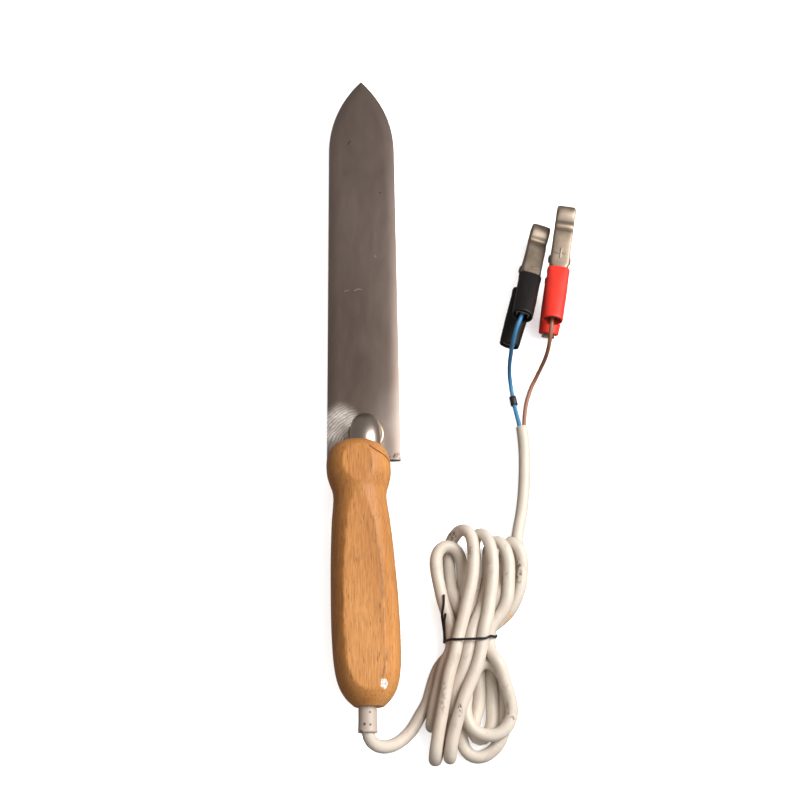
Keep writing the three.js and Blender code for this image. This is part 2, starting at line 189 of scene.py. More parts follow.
# ---------- shader building ----------
class Finish:
    """One procedural material; its textures are laid out in the object's own coordinates."""

    def __init__(self, name, sockets):
        self.material = bpy.data.materials.new(name)
        self.material.use_nodes = True
        self.tree = self.material.node_tree
        self.shader = self.tree.nodes["Principled BSDF"]
        self.place = self.tree.nodes.new("ShaderNodeTexCoord").outputs["Object"]
        for socket, value in sockets.items():
            self.shader.inputs[socket].default_value = value

    def paint(self, socket, value):
        """Sets a plain colour, or links a texture's output."""
        if isinstance(value, tuple):
            self.shader.inputs[socket].default_value = (*value, 1.0)
        else:
            self.tree.links.new(value, self.shader.inputs[socket])

    def painted(self, socket):
        """What is linked to one of the shader's sockets so far."""
        return self.shader.inputs[socket].links[0].from_socket

    def node(self, kind, inputs, output=0, **settings):
        node = self.tree.nodes.new(kind)
        for key, value in settings.items():
            setattr(node, key, value)
        for key, value in inputs.items():
            if isinstance(value, bpy.types.NodeSocket):
                self.tree.links.new(value, node.inputs[key])
            elif value is not None:
                node.inputs[key].default_value = value
        return node.outputs[output]

    def mapped(self, scale=EVEN, shift=(0.0, 0.0, 0.0)):
        inputs = {"Vector": self.place, "Location": shift, "Scale": scale}
        return self.node("ShaderNodeMapping", inputs)

    def noise(self, scale, detail=4.0, stretch=EVEN, rough=0.5, warp=0.0):
        inputs = {"Vector": self.mapped(stretch), "Scale": scale, "Detail": detail,
                  "Roughness": rough, "Distortion": warp}
        return self.node("ShaderNodeTexNoise", inputs, "Fac")

    def patches(self, low, high, *pattern):
        """A mask, 0 where the noise is under low and 1 where it is over high."""
        return self.ramp(self.noise(*pattern), [(low, 0.0), (high, 1.0)])

    def dots(self, scale, inner, outer, stretch=EVEN):
        """A mask, 1 within small scattered dots and 0 between them."""
        inputs = {"Vector": self.mapped(stretch), "Scale": scale}
        distance = self.node("ShaderNodeTexVoronoi", inputs, "Distance")
        return self.ramp(distance, [(inner, 1.0), (outer, 0.0)])

    def ramp(self, fac, stops):
        node = self.tree.nodes.new("ShaderNodeValToRGB")
        self.tree.links.new(fac, node.inputs["Fac"])
        while len(node.color_ramp.elements) < len(stops):
            node.color_ramp.elements.new(0.5)
        for element, (position, colour) in zip(node.color_ramp.elements, stops):
            element.position = position
            rgb = colour if isinstance(colour, tuple) else (colour, colour, colour)
            element.color = (*rgb, 1.0)
        return node.outputs["Color"]

    def blend(self, fac, a, b, mode="MIX"):
        node = self.tree.nodes.new("ShaderNodeMix")
        node.data_type = "RGBA"
        node.blend_type = mode
        for key, value in ((0, fac), (6, a), (7, b)):
            if isinstance(value, bpy.types.NodeSocket):
                self.tree.links.new(value, node.inputs[key])
            else:
                node.inputs[key].default_value = (*value, 1.0) if isinstance(value, tuple) else value
        return node.outputs[2]

    def math(self, operation, a, b):
        return self.node("ShaderNodeMath", {0: a, 1: b}, operation=operation)

    def times(self, value, *others):
        for other in others:
            value = self.math("MULTIPLY", value, other)
        return value

    def plus(self, a, b):
        return self.math("ADD", a, b)

    def vector(self, operation, inputs, output=0):
        return self.node("ShaderNodeVectorMath", inputs, output, operation=operation)

    def near(self, centre, radius, soft=0.5, stretch=EVEN):
        """A mask, 1 at a place on the object and 0 beyond a radius, in millimetres."""
        shift = tuple(-0.001 * c * s for c, s in zip(centre, stretch))
        away = self.vector("LENGTH", {0: self.mapped(stretch, shift)}, "Value")
        inputs = {"Value": away, "From Min": 0.001 * radius * (1.0 - soft), "From Max": 0.001 * radius,
                  "To Min": 1.0, "To Max": 0.0}
        return self.node("ShaderNodeMapRange", inputs, interpolation_type="SMOOTHSTEP")

    def track(self, points, width):
        """A mask, 1 along a route seen from above and 0 beyond a width, in millimetres."""
        flat = self.mapped((1.0, 1.0, 0.0))
        nearest = None
        for start, end in zip(points, points[1:]):
            start, end = Vector(mm((*start, 0.0))), Vector(mm((*end, 0.0)))
            toward = (end - start).normalized()
            away = self.vector("SUBTRACT", {0: flat, 1: start})
            along = self.vector("DOT_PRODUCT", {0: away, 1: toward}, "Value")
            held = self.math("MINIMUM", self.math("MAXIMUM", along, 0.0), (end - start).length)
            foot = self.vector("SCALE", {0: toward, "Scale": held})
            distance = self.vector("LENGTH", {0: self.vector("SUBTRACT", {0: away, 1: foot})}, "Value")
            nearest = distance if nearest is None else self.math("MINIMUM", nearest, distance)
        inputs = {"Value": nearest, "From Min": 0.0003 * width, "From Max": 0.001 * width,
                  "To Min": 1.0, "To Max": 0.0}
        return self.node("ShaderNodeMapRange", inputs)

    def bump(self, height, strength, depth, under=None):
        inputs = {"Height": height, "Strength": strength, "Distance": depth * 0.001, "Normal": under}
        self.tree.links.new(self.node("ShaderNodeBump", inputs), self.shader.inputs["Normal"])


def scaled(colour, factor):
    return tuple(factor * c for c in colour)


# ---------- mesh building ----------
def new_object(name, vertices, faces):
    """A mesh object from points in millimetres; its normals are made to point outwards."""
    mesh = bpy.data.meshes.new(name)
    mesh.from_pydata([tuple(v) for v in mm(vertices)], [], faces)
    builder = bmesh.new()
    builder.from_mesh(mesh)
    bmesh.ops.recalc_face_normals(builder, faces=builder.faces)
    if builder.calc_volume(signed=True) < 0.0:
        bmesh.ops.reverse_faces(builder, faces=builder.faces)
    builder.to_mesh(mesh)
    builder.free()
    for polygon in mesh.polygons:
        polygon.use_smooth = True
    piece = bpy.data.objects.new(name, mesh)
    bpy.context.scene.collection.objects.link(piece)
    return piece


def ring_faces(count, sides, closed=False):
    """Quads between rings of vertices laid one after another; closed joins the last ring to the first."""
    faces = []
    for ring in range(count if closed else count - 1):
        low = ring * sides
        high = ((ring + 1) % count) * sides
        for side in range(sides):
            after = (side + 1) % sides
            faces.append((low + side, low + after, high + after, high + side))
    return faces


def capped_faces(count, sides):
    faces = ring_faces(count, sides)
    faces.append(tuple(reversed(range(sides))))
    faces.append(tuple((count - 1) * sides + side for side in range(sides)))
    return faces


def moving_axes(line):
    """Two unit directions across each point of a line, which don't twist along it."""
    line = np.asarray(line, dtype=float)
    tangents = np.gradient(line, axis=0)
    tangents /= np.linalg.norm(tangents, axis=1)[:, None]
    across = np.cross(tangents[0], (0.3, 0.2, 1.0))
    sides = []
    for tangent in tangents:
        across = across - tangent * across.dot(tangent)
        across = across / np.linalg.norm(across)
        sides.append(across)
    sides = np.array(sides)
    return sides, np.cross(tangents, sides)


def tube(name, line, radius, sides=16, bore=0.0, round_ends=0.35):
    """A round rod along a line, or a tube if it has a bore; a rod's ends are eased by round_ends."""
    line = np.asarray(line, dtype=float)
    radii = np.full(len(line), radius, dtype=float)
    if not bore and round_ends:
        line, radii = eased_ends(line, radii, round_ends)
    first, second = moving_axes(line)
    turns = np.linspace(0.0, 2.0 * math.pi, sides, endpoint=False)
    cos, sin = np.cos(turns)[None, :, None], np.sin(turns)[None, :, None]
    circle = cos * first[:, None, :] + sin * second[:, None, :]
    outside = line[:, None, :] + radii[:, None, None] * circle
    if not bore:
        return new_object(name, outside.reshape(-1, 3), capped_faces(len(line), sides))
    inside = (line[:, None, :] + bore * circle)[::-1]
    rings = np.concatenate([outside, inside])
    return new_object(name, rings.reshape(-1, 3), ring_faces(len(rings), sides, closed=True))


def eased_ends(line, radii, share):
    """Adds two rings at each end that round its rim, keeping the length."""
    tangents = np.gradient(line, axis=0)
    tangents /= np.linalg.norm(tangents, axis=1)[:, None]
    start, end = share * radii[0], share * radii[-1]
    front = [line[0], line[0] + tangents[0] * start * 0.3, line[0] + tangents[0] * start]
    back = [line[-1] - tangents[-1] * end, line[-1] - tangents[-1] * end * 0.3, line[-1]]
    middle = [p for p in line[1:-1] if np.linalg.norm(p - line[0]) > 1.5 * start
              and np.linalg.norm(p - line[-1]) > 1.5 * end]
    keep = len(middle)
    steps = np.linspace(0.0, 1.0, keep)
    between = np.interp(steps, np.linspace(0.0, 1.0, len(radii)), radii)
    first = [radii[0] * (1.0 - share), radii[0] * (1.0 - 0.3 * share), radii[0]]
    last = [radii[-1], radii[-1] * (1.0 - 0.3 * share), radii[-1] * (1.0 - share)]
    return np.array(front + middle + back), np.array(first + list(between) + last)


def turned(name, profile, sides, place=(0.0, 0.0, 0.0), axis="Y", closed=True):
    """Turns a profile of (radius, height) pairs about an axis through place; closed profiles make a ring."""
    turns = np.linspace(0.0, 2.0 * math.pi, sides, endpoint=False)
    rings = []
    for radius, height in profile:
        across = radius * np.cos(turns)
        up = radius * np.sin(turns)
        along = np.full(sides, height)
        order = {"X": (along, across, up), "Y": (across, along, up), "Z": (across, up, along)}[axis]
        rings.append(np.stack(order, axis=1) + np.asarray(place))
    faces = ring_faces(len(profile), sides, closed=True) if closed else capped_faces(len(profile), sides)
    return new_object(name, np.concatenate(rings), faces)


def rounded(points, radius, steps=4):
    """A closed outline of 2-D points with its corners rounded by arcs of one radius."""
    points = [np.asarray(p, dtype=float) for p in points]
    out = []
    for i, corner in enumerate(points):
        before, after = points[i - 1], points[(i + 1) % len(points)]
        back = before - corner
        ahead = after - corner
        reach = min(radius, 0.45 * np.linalg.norm(back), 0.45 * np.linalg.norm(ahead))
        start = corner + back / np.linalg.norm(back) * reach
        end = corner + ahead / np.linalg.norm(ahead) * reach
        for t in np.linspace(0.0, 1.0, steps + 1):
            out.append((1 - t) ** 2 * start + 2 * t * (1 - t) * corner + t * t * end)
    return out


def spline(points, step):
    """A centripetal Catmull-Rom curve through points, with its own points evenly spaced by about step."""
    points = np.asarray(points, dtype=float)
    padded = np.vstack([2 * points[0] - points[1], points, 2 * points[-1] - points[-2]])
    dense = []
    for i in range(len(points) - 1):
        p0, p1, p2, p3 = padded[i:i + 4]
        t1 = np.linalg.norm(p1 - p0) ** 0.5
        t2 = t1 + np.linalg.norm(p2 - p1) ** 0.5
        t3 = t2 + np.linalg.norm(p3 - p2) ** 0.5
        t = np.linspace(t1, t2, 24, endpoint=False)[:, None]
        a1 = (t1 - t) / t1 * p0 + t / t1 * p1
        a2 = (t2 - t) / (t2 - t1) * p1 + (t - t1) / (t2 - t1) * p2
        a3 = (t3 - t) / (t3 - t2) * p2 + (t - t2) / (t3 - t2) * p3
        b1 = (t2 - t) / t2 * a1 + t / t2 * a2
        b2 = (t3 - t) / (t3 - t1) * a2 + (t - t1) / (t3 - t1) * a3
        dense.append((t2 - t) / (t2 - t1) * b1 + (t - t1) / (t2 - t1) * b2)
    return evenly(np.vstack(dense + [points[-1:]]), step)


def evenly(line, step):
    return respaced(line, max(int(round(length_of(line) / step)), 2) + 1)


def respaced(line, count):
    """The same line with count points at equal distances along it."""
    lengths = np.concatenate([[0.0], np.cumsum(np.linalg.norm(np.diff(line, axis=0), axis=1))])
    stations = np.linspace(0.0, lengths[-1], count)
    return np.stack([np.interp(stations, lengths, line[:, axis]) for axis in range(line.shape[1])], axis=1)


def length_of(line):
    return float(np.linalg.norm(np.diff(np.asarray(line), axis=0), axis=1).sum())


def carved(piece, tool):
    """Cuts a tool's volume out of a piece and removes the tool."""
    modifier = piece.modifiers.new("cut", "BOOLEAN")
    modifier.operation = "DIFFERENCE"
    modifier.solver = "MANIFOLD"
    modifier.object = tool
    graph = bpy.context.evaluated_depsgraph_get()
    mesh = bpy.data.meshes.new_from_object(piece.evaluated_get(graph))
    piece.modifiers.clear()
    spent = [piece.data, tool.data]
    piece.data = mesh
    bpy.data.objects.remove(tool)
    for old in spent:
        bpy.data.meshes.remove(old)


def sharpened(piece, angle=35.0):
    """Shades a piece smooth apart from edges steeper than an angle in degrees."""
    for polygon in piece.data.polygons:
        polygon.use_smooth = True
    piece.data.set_sharp_from_angle(angle=math.radians(angle))


def finish_piece(piece, finish, slot, body, *nodes):
    piece.data.materials.clear()
    piece.data.materials.append(finish.material)
    if nodes:
        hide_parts(*nodes)
    if body:
        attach(piece, body)


def repaint(node, finish):
    """Gives a CAD node a procedural material; its shape stays."""
    piece = NODES[node]
    piece.data.materials.clear()
    piece.data.materials.append(finish.material)


# ---------- materials ----------
SHADES = {
    "pit": (0.10, 0.065, 0.045), "blade": (0.31, 0.245, 0.215), "heated": (0.165, 0.122, 0.102),
    "ground": (0.92, 0.86, 0.80), "rubbed_sheen": (0.50, 0.445, 0.41), "sheen": (0.75, 0.66, 0.60),
    "rust": (0.09, 0.05, 0.03), "shank": (0.52, 0.45, 0.40), "pore": (0.20, 0.085, 0.03),
    "smoke": (0.34, 0.15, 0.05), "torn": (0.24, 0.105, 0.04), "speck": (0.09, 0.04, 0.02),
    "crack": (0.16, 0.065, 0.025), "cord": (0.71, 0.635, 0.55), "cord_grime": (0.19, 0.11, 0.07),
    "cord_wear_and_shade": (0.47, 0.35, 0.26), "sleeve": (0.57, 0.48, 0.405), "sleeve_grime": (0.20, 0.12, 0.07),
    "sleeve_left_shade": (0.32, 0.21, 0.15), "sleeve_dot": (0.14, 0.09, 0.06), "nickel_pit": (0.14, 0.09, 0.06),
}


def polished_steel(name, tint, rough):
    """Steel with cloudy tarnish, sparse dark pits, and fine scratches along and across it."""
    finish = Finish(name, {"Metallic": 1.0, "Roughness": rough})
    clouds = finish.noise(28.0, 3.0, (1.6, 0.7, 1.0), 0.55, 0.6)
    shade = finish.ramp(clouds, [(0.32, scaled(tint, 0.90)), (0.52, tint), (0.72, scaled(tint, 1.08))])
    spots = finish.times(finish.dots(420.0, 0.05, 0.11), finish.patches(0.56, 0.64, 60.0, 2.0))
    finish.paint("Base Color", finish.blend(finish.times(spots, 0.55), shade, SHADES["pit"]))
    dull = finish.noise(140.0, 5.0, (2.2, 0.5, 1.0), 0.6, 0.3)
    spread = finish.plus(finish.times(dull, 0.10), rough - 0.05)
    finish.paint("Roughness", finish.plus(spread, finish.times(spots, 0.3)))
    along = finish.noise(900.0, 2.0, (1.0, 0.035, 1.0), 0.6, 0.4)
    across = finish.noise(1500.0, 2.0, (0.04, 1.0, 1.0), 0.6, 0.8)
    waves = finish.node("ShaderNodeBump", {"Height": clouds, "Strength": 0.04, "Distance": 0.0012})
    finish.bump(finish.plus(along, finish.times(across, 0.6)), 0.22, 0.02, waves)
    return finish


def blade_finish():
    """Ground stainless steel: darker over the middle as a painted shade, a fan of grinding arcs by the shank,
    a scuffed right corner lightened by a painted sheen, a few scratches and pits, and rust at the base's
    corner."""
    finish = polished_steel("blade_steel", SHADES["blade"], 0.36)
    # Painted shade: the middle of the blade is darkened, fading towards its tip and base, as a dimmer
    # reflection would be.
    heated = finish.near((-4.0, 2.0, 4.0), 88.0, 0.95, (2.6, 0.85, 1.0))
    colour = finish.blend(finish.times(heated, 0.75), finish.painted("Base Color"), SHADES["heated"])
    for route, width, shade in BLADE_SCRATCHES:
        colour = finish.blend(finish.times(finish.track(route, width), 0.8), colour, shade)
    centred = finish.mapped(EVEN, (-0.004, 0.052, 0.0))
    rings = {"Vector": centred, "Scale": 210.0, "Distortion": 7.0, "Detail": 4.0}
    arcs = finish.node("ShaderNodeTexWave", rings, "Fac", wave_type="RINGS", rings_direction="Z")
    fan = finish.near((-12.5, -36.5, 4.0), 13.0, 0.5, (1.0, 0.7, 1.0))
    thinned = finish.ramp(finish.noise(110.0, 3.0), [(0.35, 0.45), (0.6, 1.0)])
    ground = finish.times(finish.ramp(arcs, [(0.1, 0.5), (0.9, 1.0)]), fan, thinned)
    colour = finish.blend(ground, colour, SHADES["ground"])
    # Partly wear, partly painted sheen: the lower right corner is lightened where the lights on the right
    # brighten the blade.
    side = finish.near((18.0, -36.0, 4.0), 26.0, 0.95, (1.5, 0.8, 1.0))
    rubbed_sheen = finish.times(side, finish.ramp(finish.noise(40.0, 3.0), [(0.3, 0.2), (0.6, 1.0)]))
    colour = finish.blend(finish.times(rubbed_sheen, 0.40), colour, SHADES["rubbed_sheen"])
    middle = finish.near((2.0, 15.0, 4.0), 12.0, 0.95)
    colour = finish.blend(finish.times(middle, 0.05), colour, SHADES["sheen"])
    corner = finish.near((17.5, -51.5, 2.0), 6.5, 0.8, (0.9, 1.5, 1.0))
    rust = finish.times(corner, finish.patches(0.48, 0.60, 700.0, 4.0))
    finish.paint("Base Color", finish.blend(rust, colour, SHADES["rust"]))
    matt = finish.plus(finish.times(rust, 0.7), finish.times(ground, 0.45))
    finish.paint("Metallic", finish.math("SUBTRACT", 1.0, matt))
    scuffed = finish.plus(finish.times(ground, 0.26), finish.times(rubbed_sheen, 0.10))
    finish.paint("Roughness", finish.plus(finish.painted("Roughness"), scuffed))
    return finish


def beech_finish():
    """Oiled beech: fine fibres and dark pores along Y over broad warm bands, smoky patches, torn grain
    along the flat's edges, a pale nick in the butt, and a dark line painted along the head's crack."""
    finish = Finish("beech", {"Roughness": 0.5, "Specular IOR Level": 0.35})
    bands = finish.noise(38.0, 3.0, (1.0, 0.16, 1.0), 0.5, 0.8)
    wood = finish.ramp(bands, [(0.30, (0.46, 0.185, 0.048)), (0.48, (0.60, 0.26, 0.075)),
                               (0.66, (0.72, 0.345, 0.115))])
    fibres = finish.noise(1700.0, 4.0, (1.0, 0.07, 1.0), 0.7, 0.4)
    streaks = finish.ramp(fibres, [(0.32, (0.42, 0.36, 0.32)), (0.60, (1.06, 1.06, 1.06))])
    colour = finish.blend(0.62, wood, streaks, "MULTIPLY")
    some = finish.patches(0.43, 0.55, 260.0, 2.0, (1.0, 0.3, 1.0))
    pores = finish.times(finish.dots(850.0, 0.12, 0.26, (1.0, 0.14, 1.0)), some, 0.8)
    colour = finish.blend(pores, colour, SHADES["pore"])
    smoke = finish.patches(0.42, 0.75, 20.0, 4.0, (1.0, 0.6, 1.0))
    colour = finish.blend(finish.times(smoke, 0.30), colour, SHADES["smoke"])
    edges = finish.math("MAXIMUM", finish.track(flat_edge(-1), 1.0), finish.track(flat_edge(1), 0.8))
    broken = finish.patches(0.44, 0.56, 420.0, 4.0, (1.0, 0.3, 1.0), 0.65)
    colour = finish.blend(finish.times(edges, broken, 0.75), colour, SHADES["torn"])
    nick = finish.near(NICK_AT, 3.0, 0.95, (1.0, 0.70, 0.6))
    ragged = finish.ramp(finish.plus(nick, finish.noise(480.0, 4.0)), [(0.86, 0.0), (0.92, 1.0)])
    pale = finish.ramp(finish.noise(800.0, 3.0), [(0.40, (0.46, 0.41, 0.37)), (0.50, (0.84, 0.78, 0.72))])
    colour = finish.blend(ragged, colour, pale)
    colour = finish.blend(finish.near(SPECK_AT, 0.9, 0.4), colour, SHADES["speck"])
    # The head's crack is painted as a dark line, on the top of the handle only.
    height = finish.node("ShaderNodeSeparateXYZ", {0: finish.place}, 2)
    upper = finish.node("ShaderNodeMapRange", {"Value": height, "From Min": 0.024, "From Max": 0.026})
    crack = finish.times(finish.track(CRACK_ROUTE, 0.5), upper)
    finish.paint("Base Color", finish.blend(crack, colour, SHADES["crack"]))
    finish.paint("Roughness", finish.plus(finish.times(fibres, 0.16), 0.42))
    finish.bump(finish.math("SUBTRACT", fibres, finish.times(pores, 0.8)), 0.5, 0.06)
    return finish


def pvc_finish(name, colour, grime, grime_amount=0.5, rough=0.42, soft=0.0):
    """Moulded or extruded vinyl: cloudy colour, worked-in grime, small specks and a slightly uneven skin."""
    finish = Finish(name, {"Roughness": rough, "Subsurface Weight": soft, "Subsurface Scale": 0.002,
                           "Specular IOR Level": 0.35})
    if soft:
        finish.shader.inputs["Subsurface Radius"].default_value = (1.0, 0.6, 0.35)
    base = finish.blend(finish.patches(0.3, 0.7, 60.0, 4.0), colour, scaled(colour, 0.86))
    smear = finish.patches(0.56, 0.74, 130.0, 6.0, (1.0, 0.6, 1.0), 0.65, 0.5)
    halfway = tuple(0.5 * (a + b) for a, b in zip(colour, grime))
    smeared = finish.blend(finish.times(smear, grime_amount), base, halfway)
    marks = finish.patches(0.66, 0.71, 520.0, 4.0, (1.0, 0.7, 1.0), 0.7, 0.6)
    specks = finish.times(marks, finish.patches(0.52, 0.62, 42.0, 2.0), grime_amount * 1.6)
    finish.paint("Base Color", finish.blend(specks, smeared, grime))
    finish.paint("Roughness", finish.plus(finish.times(smear, 0.18), rough - 0.04))
    finish.bump(finish.noise(700.0, 3.0), 0.10, 0.05)
    return finish


def cord_finish():
    """Aged cream flex: browner at the near end of the hank, partly from handling and partly as painted shade,
    with scuff marks and stains at CORD_MARKS.
    """
    finish = pvc_finish("cord_cream", SHADES["cord"], SHADES["cord_grime"], 0.8, 0.42, 0.05)
    # Browner towards the near end of the hank, over its left and lower strands: partly wear from handling,
    # partly painted shade.
    handled_and_shaded = finish.near((33.0, -170.0, 8.0), 42.0, 0.9, (1.6, 0.7, 1.0))
    patchy = finish.ramp(finish.noise(75.0, 4.0, (1.0, 0.5, 1.0), 0.6), [(0.35, 0.25), (0.7, 1.0)])
    worn = finish.times(handled_and_shaded, patchy, 0.62)
    colour = finish.blend(worn, finish.painted("Base Color"), SHADES["cord_wear_and_shade"])
    for centre, radius, stretch, strength, shade in CORD_MARKS:
        broken = finish.patches(0.47, 0.56, 900.0, 3.0, (1.0, 0.7, 1.0), 0.7)
        mark = finish.times(finish.near(centre, radius, 0.5, stretch), broken, strength)
        colour = finish.blend(mark, colour, shade)
    finish.paint("Base Color", colour)
    return finish


def sleeve_finish():
    """Cream plastic with painted shade on its left side and a few dark dots by the cord."""
    finish = pvc_finish("sleeve_cream", SHADES["sleeve"], SHADES["sleeve_grime"], 0.7, 0.42, 0.05)
    # Painted shade: the sleeve is darkened on its left side, away from the light.
    side = finish.near((-4.5, -190.0, 25.0), 7.0, 0.9, (1.6, 0.5, 1.0))
    colour = finish.blend(finish.times(side, 0.5), finish.painted("Base Color"), SHADES["sleeve_left_shade"])
    for centre, radius in SLEEVE_MARKS:
        colour = finish.blend(finish.near(centre, radius, 0.4), colour, SHADES["sleeve_dot"])
    finish.paint("Base Color", colour)
    return finish


def nickel_finish():
    """Nickel-plated sheet, worn warm in places, with fine scratches and small dark pits."""
    finish = Finish("clip_nickel", {"Metallic": 1.0, "Roughness": 0.4})
    clouds = finish.noise(120.0, 4.0, EVEN, 0.55, 0.5)
    shade = finish.ramp(clouds, [(0.3, (0.30, 0.235, 0.18)), (0.55, (0.38, 0.31, 0.245)),
                                 (0.75, (0.43, 0.365, 0.30))])
    pits = finish.times(finish.dots(600.0, 0.06, 0.14), finish.patches(0.55, 0.64, 210.0, 2.0), 0.6)
    finish.paint("Base Color", finish.blend(pits, shade, SHADES["nickel_pit"]))
    finish.paint("Roughness", finish.plus(finish.times(clouds, 0.18), 0.41))
    finish.bump(finish.noise(1400.0, 2.0, (1.0, 0.06, 1.0), 0.6, 0.5), 0.2, 0.02)
    return finish


def plain_metal(name, tint, rough, stretch=EVEN):
    """Drawn or pressed metal with cloudy tarnish."""
    finish = Finish(name, {"Metallic": 1.0, "Roughness": rough})
    clouds = finish.noise(260.0, 4.0, stretch, 0.6, 0.3)
    finish.paint("Base Color", finish.ramp(clouds, [(0.3, scaled(tint, 0.62)), (0.65, tint)]))
    finish.paint("Roughness", finish.plus(finish.times(clouds, 0.25), rough - 0.1))
    finish.bump(finish.noise(1600.0, 2.0, stretch), 0.15, 0.02)
    return finish


def fibrous(name, light, dark, scale, rough):
    """Layered or braided insulation: short crossed fibres over a mottled ground."""
    finish = Finish(name, {"Roughness": rough})
    flakes = finish.noise(scale, 4.0, (1.0, 0.3, 1.0), 0.6)
    finish.paint("Base Color", finish.ramp(flakes, [(0.35, dark), (0.65, light)]))
    finish.bump(finish.noise(scale * 4.0, 3.0, (1.0, 0.4, 1.0)), 0.3, 0.05)
    return finish


HANDLE_PROFILE = [
    (9.5, -50), (12.6, -52), (15, -55), (16.5, -59.5), (16.8, -64), (16.4, -68.5), (15.3, -72.5),
    (14.2, -76), (13.8, -79.5), (14.1, -84), (15.1, -93), (16.2, -110), (17, -132), (17.2, -150),
    (16.6, -165), (15.4, -172.5), (13.6, -177.5), (11, -181.5), (7.4, -185),
]
# Sanded flats: the direction each faces, in degrees about the axis from +X, its depth, and its span along Y.
GRIP_FLATS = [(90.0, 13.6, -183.0, -79.0), (270.0, 13.6, -183.0, -79.0), (43.0, 16.4, -178.0, -90.0)]
HEAD_FLATS = [(90.0, 14.9, -75.0, -49.0), (270.0, 14.9, -75.0, -49.0)]
FLAT_SOFTNESS = 0.06


def handle_axis_x(y):
    """The handle leans a little to the side as it runs back."""
    return HANDLE_HEAD[0] + (HANDLE_HEAD[1] - y) * HANDLE_SKEW


# The furthest each long edge of the upper flat lies from the handle's axis: left, then right,
# where the third flat cuts it short.
FLAT_REACH = {-1: 12.0, 1: 9.7}
FLAT_EDGE_Y = (-175.0, -88.0)


def flat_edge(side):
    """One long edge of the handle's upper flat, seen from above; side is -1 for left and 1 for right."""
    depth = GRIP_FLATS[0][1]
    route = []
    for radius, y in HANDLE_PROFILE:
        if radius > depth + 0.4 and FLAT_EDGE_Y[0] < y < FLAT_EDGE_Y[1]:
            across = min(math.sqrt(radius ** 2 - depth ** 2), FLAT_REACH[side])
            route.append((handle_axis_x(y) + side * across, y))
    return route


# Scratches, chips and pits in the blade: a route seen from above, its width and its colour.
BLADE_SCRATCHES = [
    ([(-10.2, 46.6), (-7.9, 47.2)], 0.35, (0.50, 0.44, 0.40)),
    ([(-4.4, 46.9), (-2.8, 47.9), (-0.6, 47.5)], 0.40, (0.55, 0.49, 0.45)),
    ([(7.3, 68.5), (7.7, 68.0)], 0.5, (0.50, 0.44, 0.41)),
    ([(-7.9, 141.6), (-7.2, 143.2), (-6.4, 144.0)], 0.45, (0.10, 0.08, 0.07)),
    ([(10.5, 109.0), (10.9, 109.4)], 0.6, (0.11, 0.09, 0.08)),
]
NICK_AT = (9.75, -175.8, 35.0)
SPECK_AT = (8.6, -172.0, 35.6)
CRACK_ROUTE = [
    (3.6, -55.6), (5.6, -56.9), (8.0, -58.2), (10.2, -59.0), (12.3, -60.3), (13.6, -61.4),
]
# Marks on the cord: place, radius, stretch, strength and colour.
CORD_MARKS = [
    ((45.5, -97.5, 12.0), 3.2, (1.0, 1.0, 0.5), 0.85, (0.10, 0.075, 0.06)),
    ((61.5, -104.0, 12.0), 2.6, (1.6, 0.55, 0.3), 0.7, (0.18, 0.12, 0.08)),
    ((54.5, -108.0, 19.0), 2.6, (1.6, 0.5, 0.5), 0.5, (0.22, 0.16, 0.12)),
    ((73.0, -119.0, 14.0), 2.2, (1.8, 0.6, 0.5), 0.6, (0.18, 0.14, 0.12)),
    ((79.5, -117.0, 9.0), 4.6, (2.2, 0.5, 0.5), 0.9, (0.15, 0.08, 0.04)),
    ((73.5, -140.0, 6.0), 4.2, (1.4, 0.6, 0.5), 0.8, (0.72, 0.36, 0.12)),
    ((46.5, -187.0, 18.0), 3.0, (2.0, 0.6, 0.5), 0.85, (0.14, 0.10, 0.08)),
    ((72.5, -190.5, 12.0), 1.6, (1.0, 1.0, 0.6), 1.0, (0.08, 0.07, 0.07)),
    ((70.5, -186.0, 10.0), 3.2, (2.2, 0.5, 0.5), 0.7, (0.33, 0.20, 0.12)),
    ((38.5, -180.0, 16.0), 6.0, (2.4, 0.5, 0.5), 0.5, (0.16, 0.11, 0.08)),
    ((86.0, -75.0, 5.0), 1.2, (1.0, 1.0, 1.0), 1.0, (0.25, 0.15, 0.08)),
]
SLEEVE_MARKS = [((-0.2, -193.6, 27.2), 0.9), ((2.6, -193.9, 27.3), 0.8), ((2.5, -188.0, 27.4), 0.7)]

BLADE_STEEL = blade_finish()
SHANK_STEEL = polished_steel("shank_steel", SHADES["shank"], 0.36)
BRAZE = plain_metal("braze", (0.46, 0.36, 0.26), 0.36)
BEECH = beech_finish()
CREAM_PVC = cord_finish()
SLEEVE_PVC = sleeve_finish()
BLUE_PVC = pvc_finish("core_blue", (0.06, 0.24, 0.47), (0.05, 0.05, 0.06), 0.12, 0.45)
BROWN_PVC = pvc_finish("core_brown", (0.36, 0.16, 0.095), (0.05, 0.03, 0.02), 0.12, 0.42)
BLACK_COATING = pvc_finish("tie_black", (0.012, 0.011, 0.012), (0.10, 0.09, 0.08), 0.3, 0.38)
BLACK_PLASTIC = pvc_finish("band_black", (0.028, 0.024, 0.026), (0.12, 0.11, 0.11), 0.4, 0.45)
RED_PVC = pvc_finish("sleeve_red", (0.86, 0.042, 0.026), (0.25, 0.03, 0.02), 0.3, 0.46, 0.05)
DARK_PVC = pvc_finish("sleeve_black", (0.006, 0.005, 0.005), (0.06, 0.05, 0.045), 0.25, 0.52)
NICKEL = nickel_finish()
SPRING_STEEL = plain_metal("spring_steel", (0.44, 0.40, 0.36), 0.3)
BRASS = plain_metal("terminal_brass", (0.72, 0.50, 0.24), 0.32)
FOIL = plain_metal("heater_foil", (0.62, 0.56, 0.48), 0.28, (1.0, 0.1, 1.0))
MICA = fibrous("mica", (0.56, 0.46, 0.28), (0.36, 0.27, 0.14), 300.0, 0.5)
LEAD_SLEEVING = fibrous("lead_sleeving", (0.62, 0.56, 0.44), (0.34, 0.28, 0.20), 900.0, 0.7)


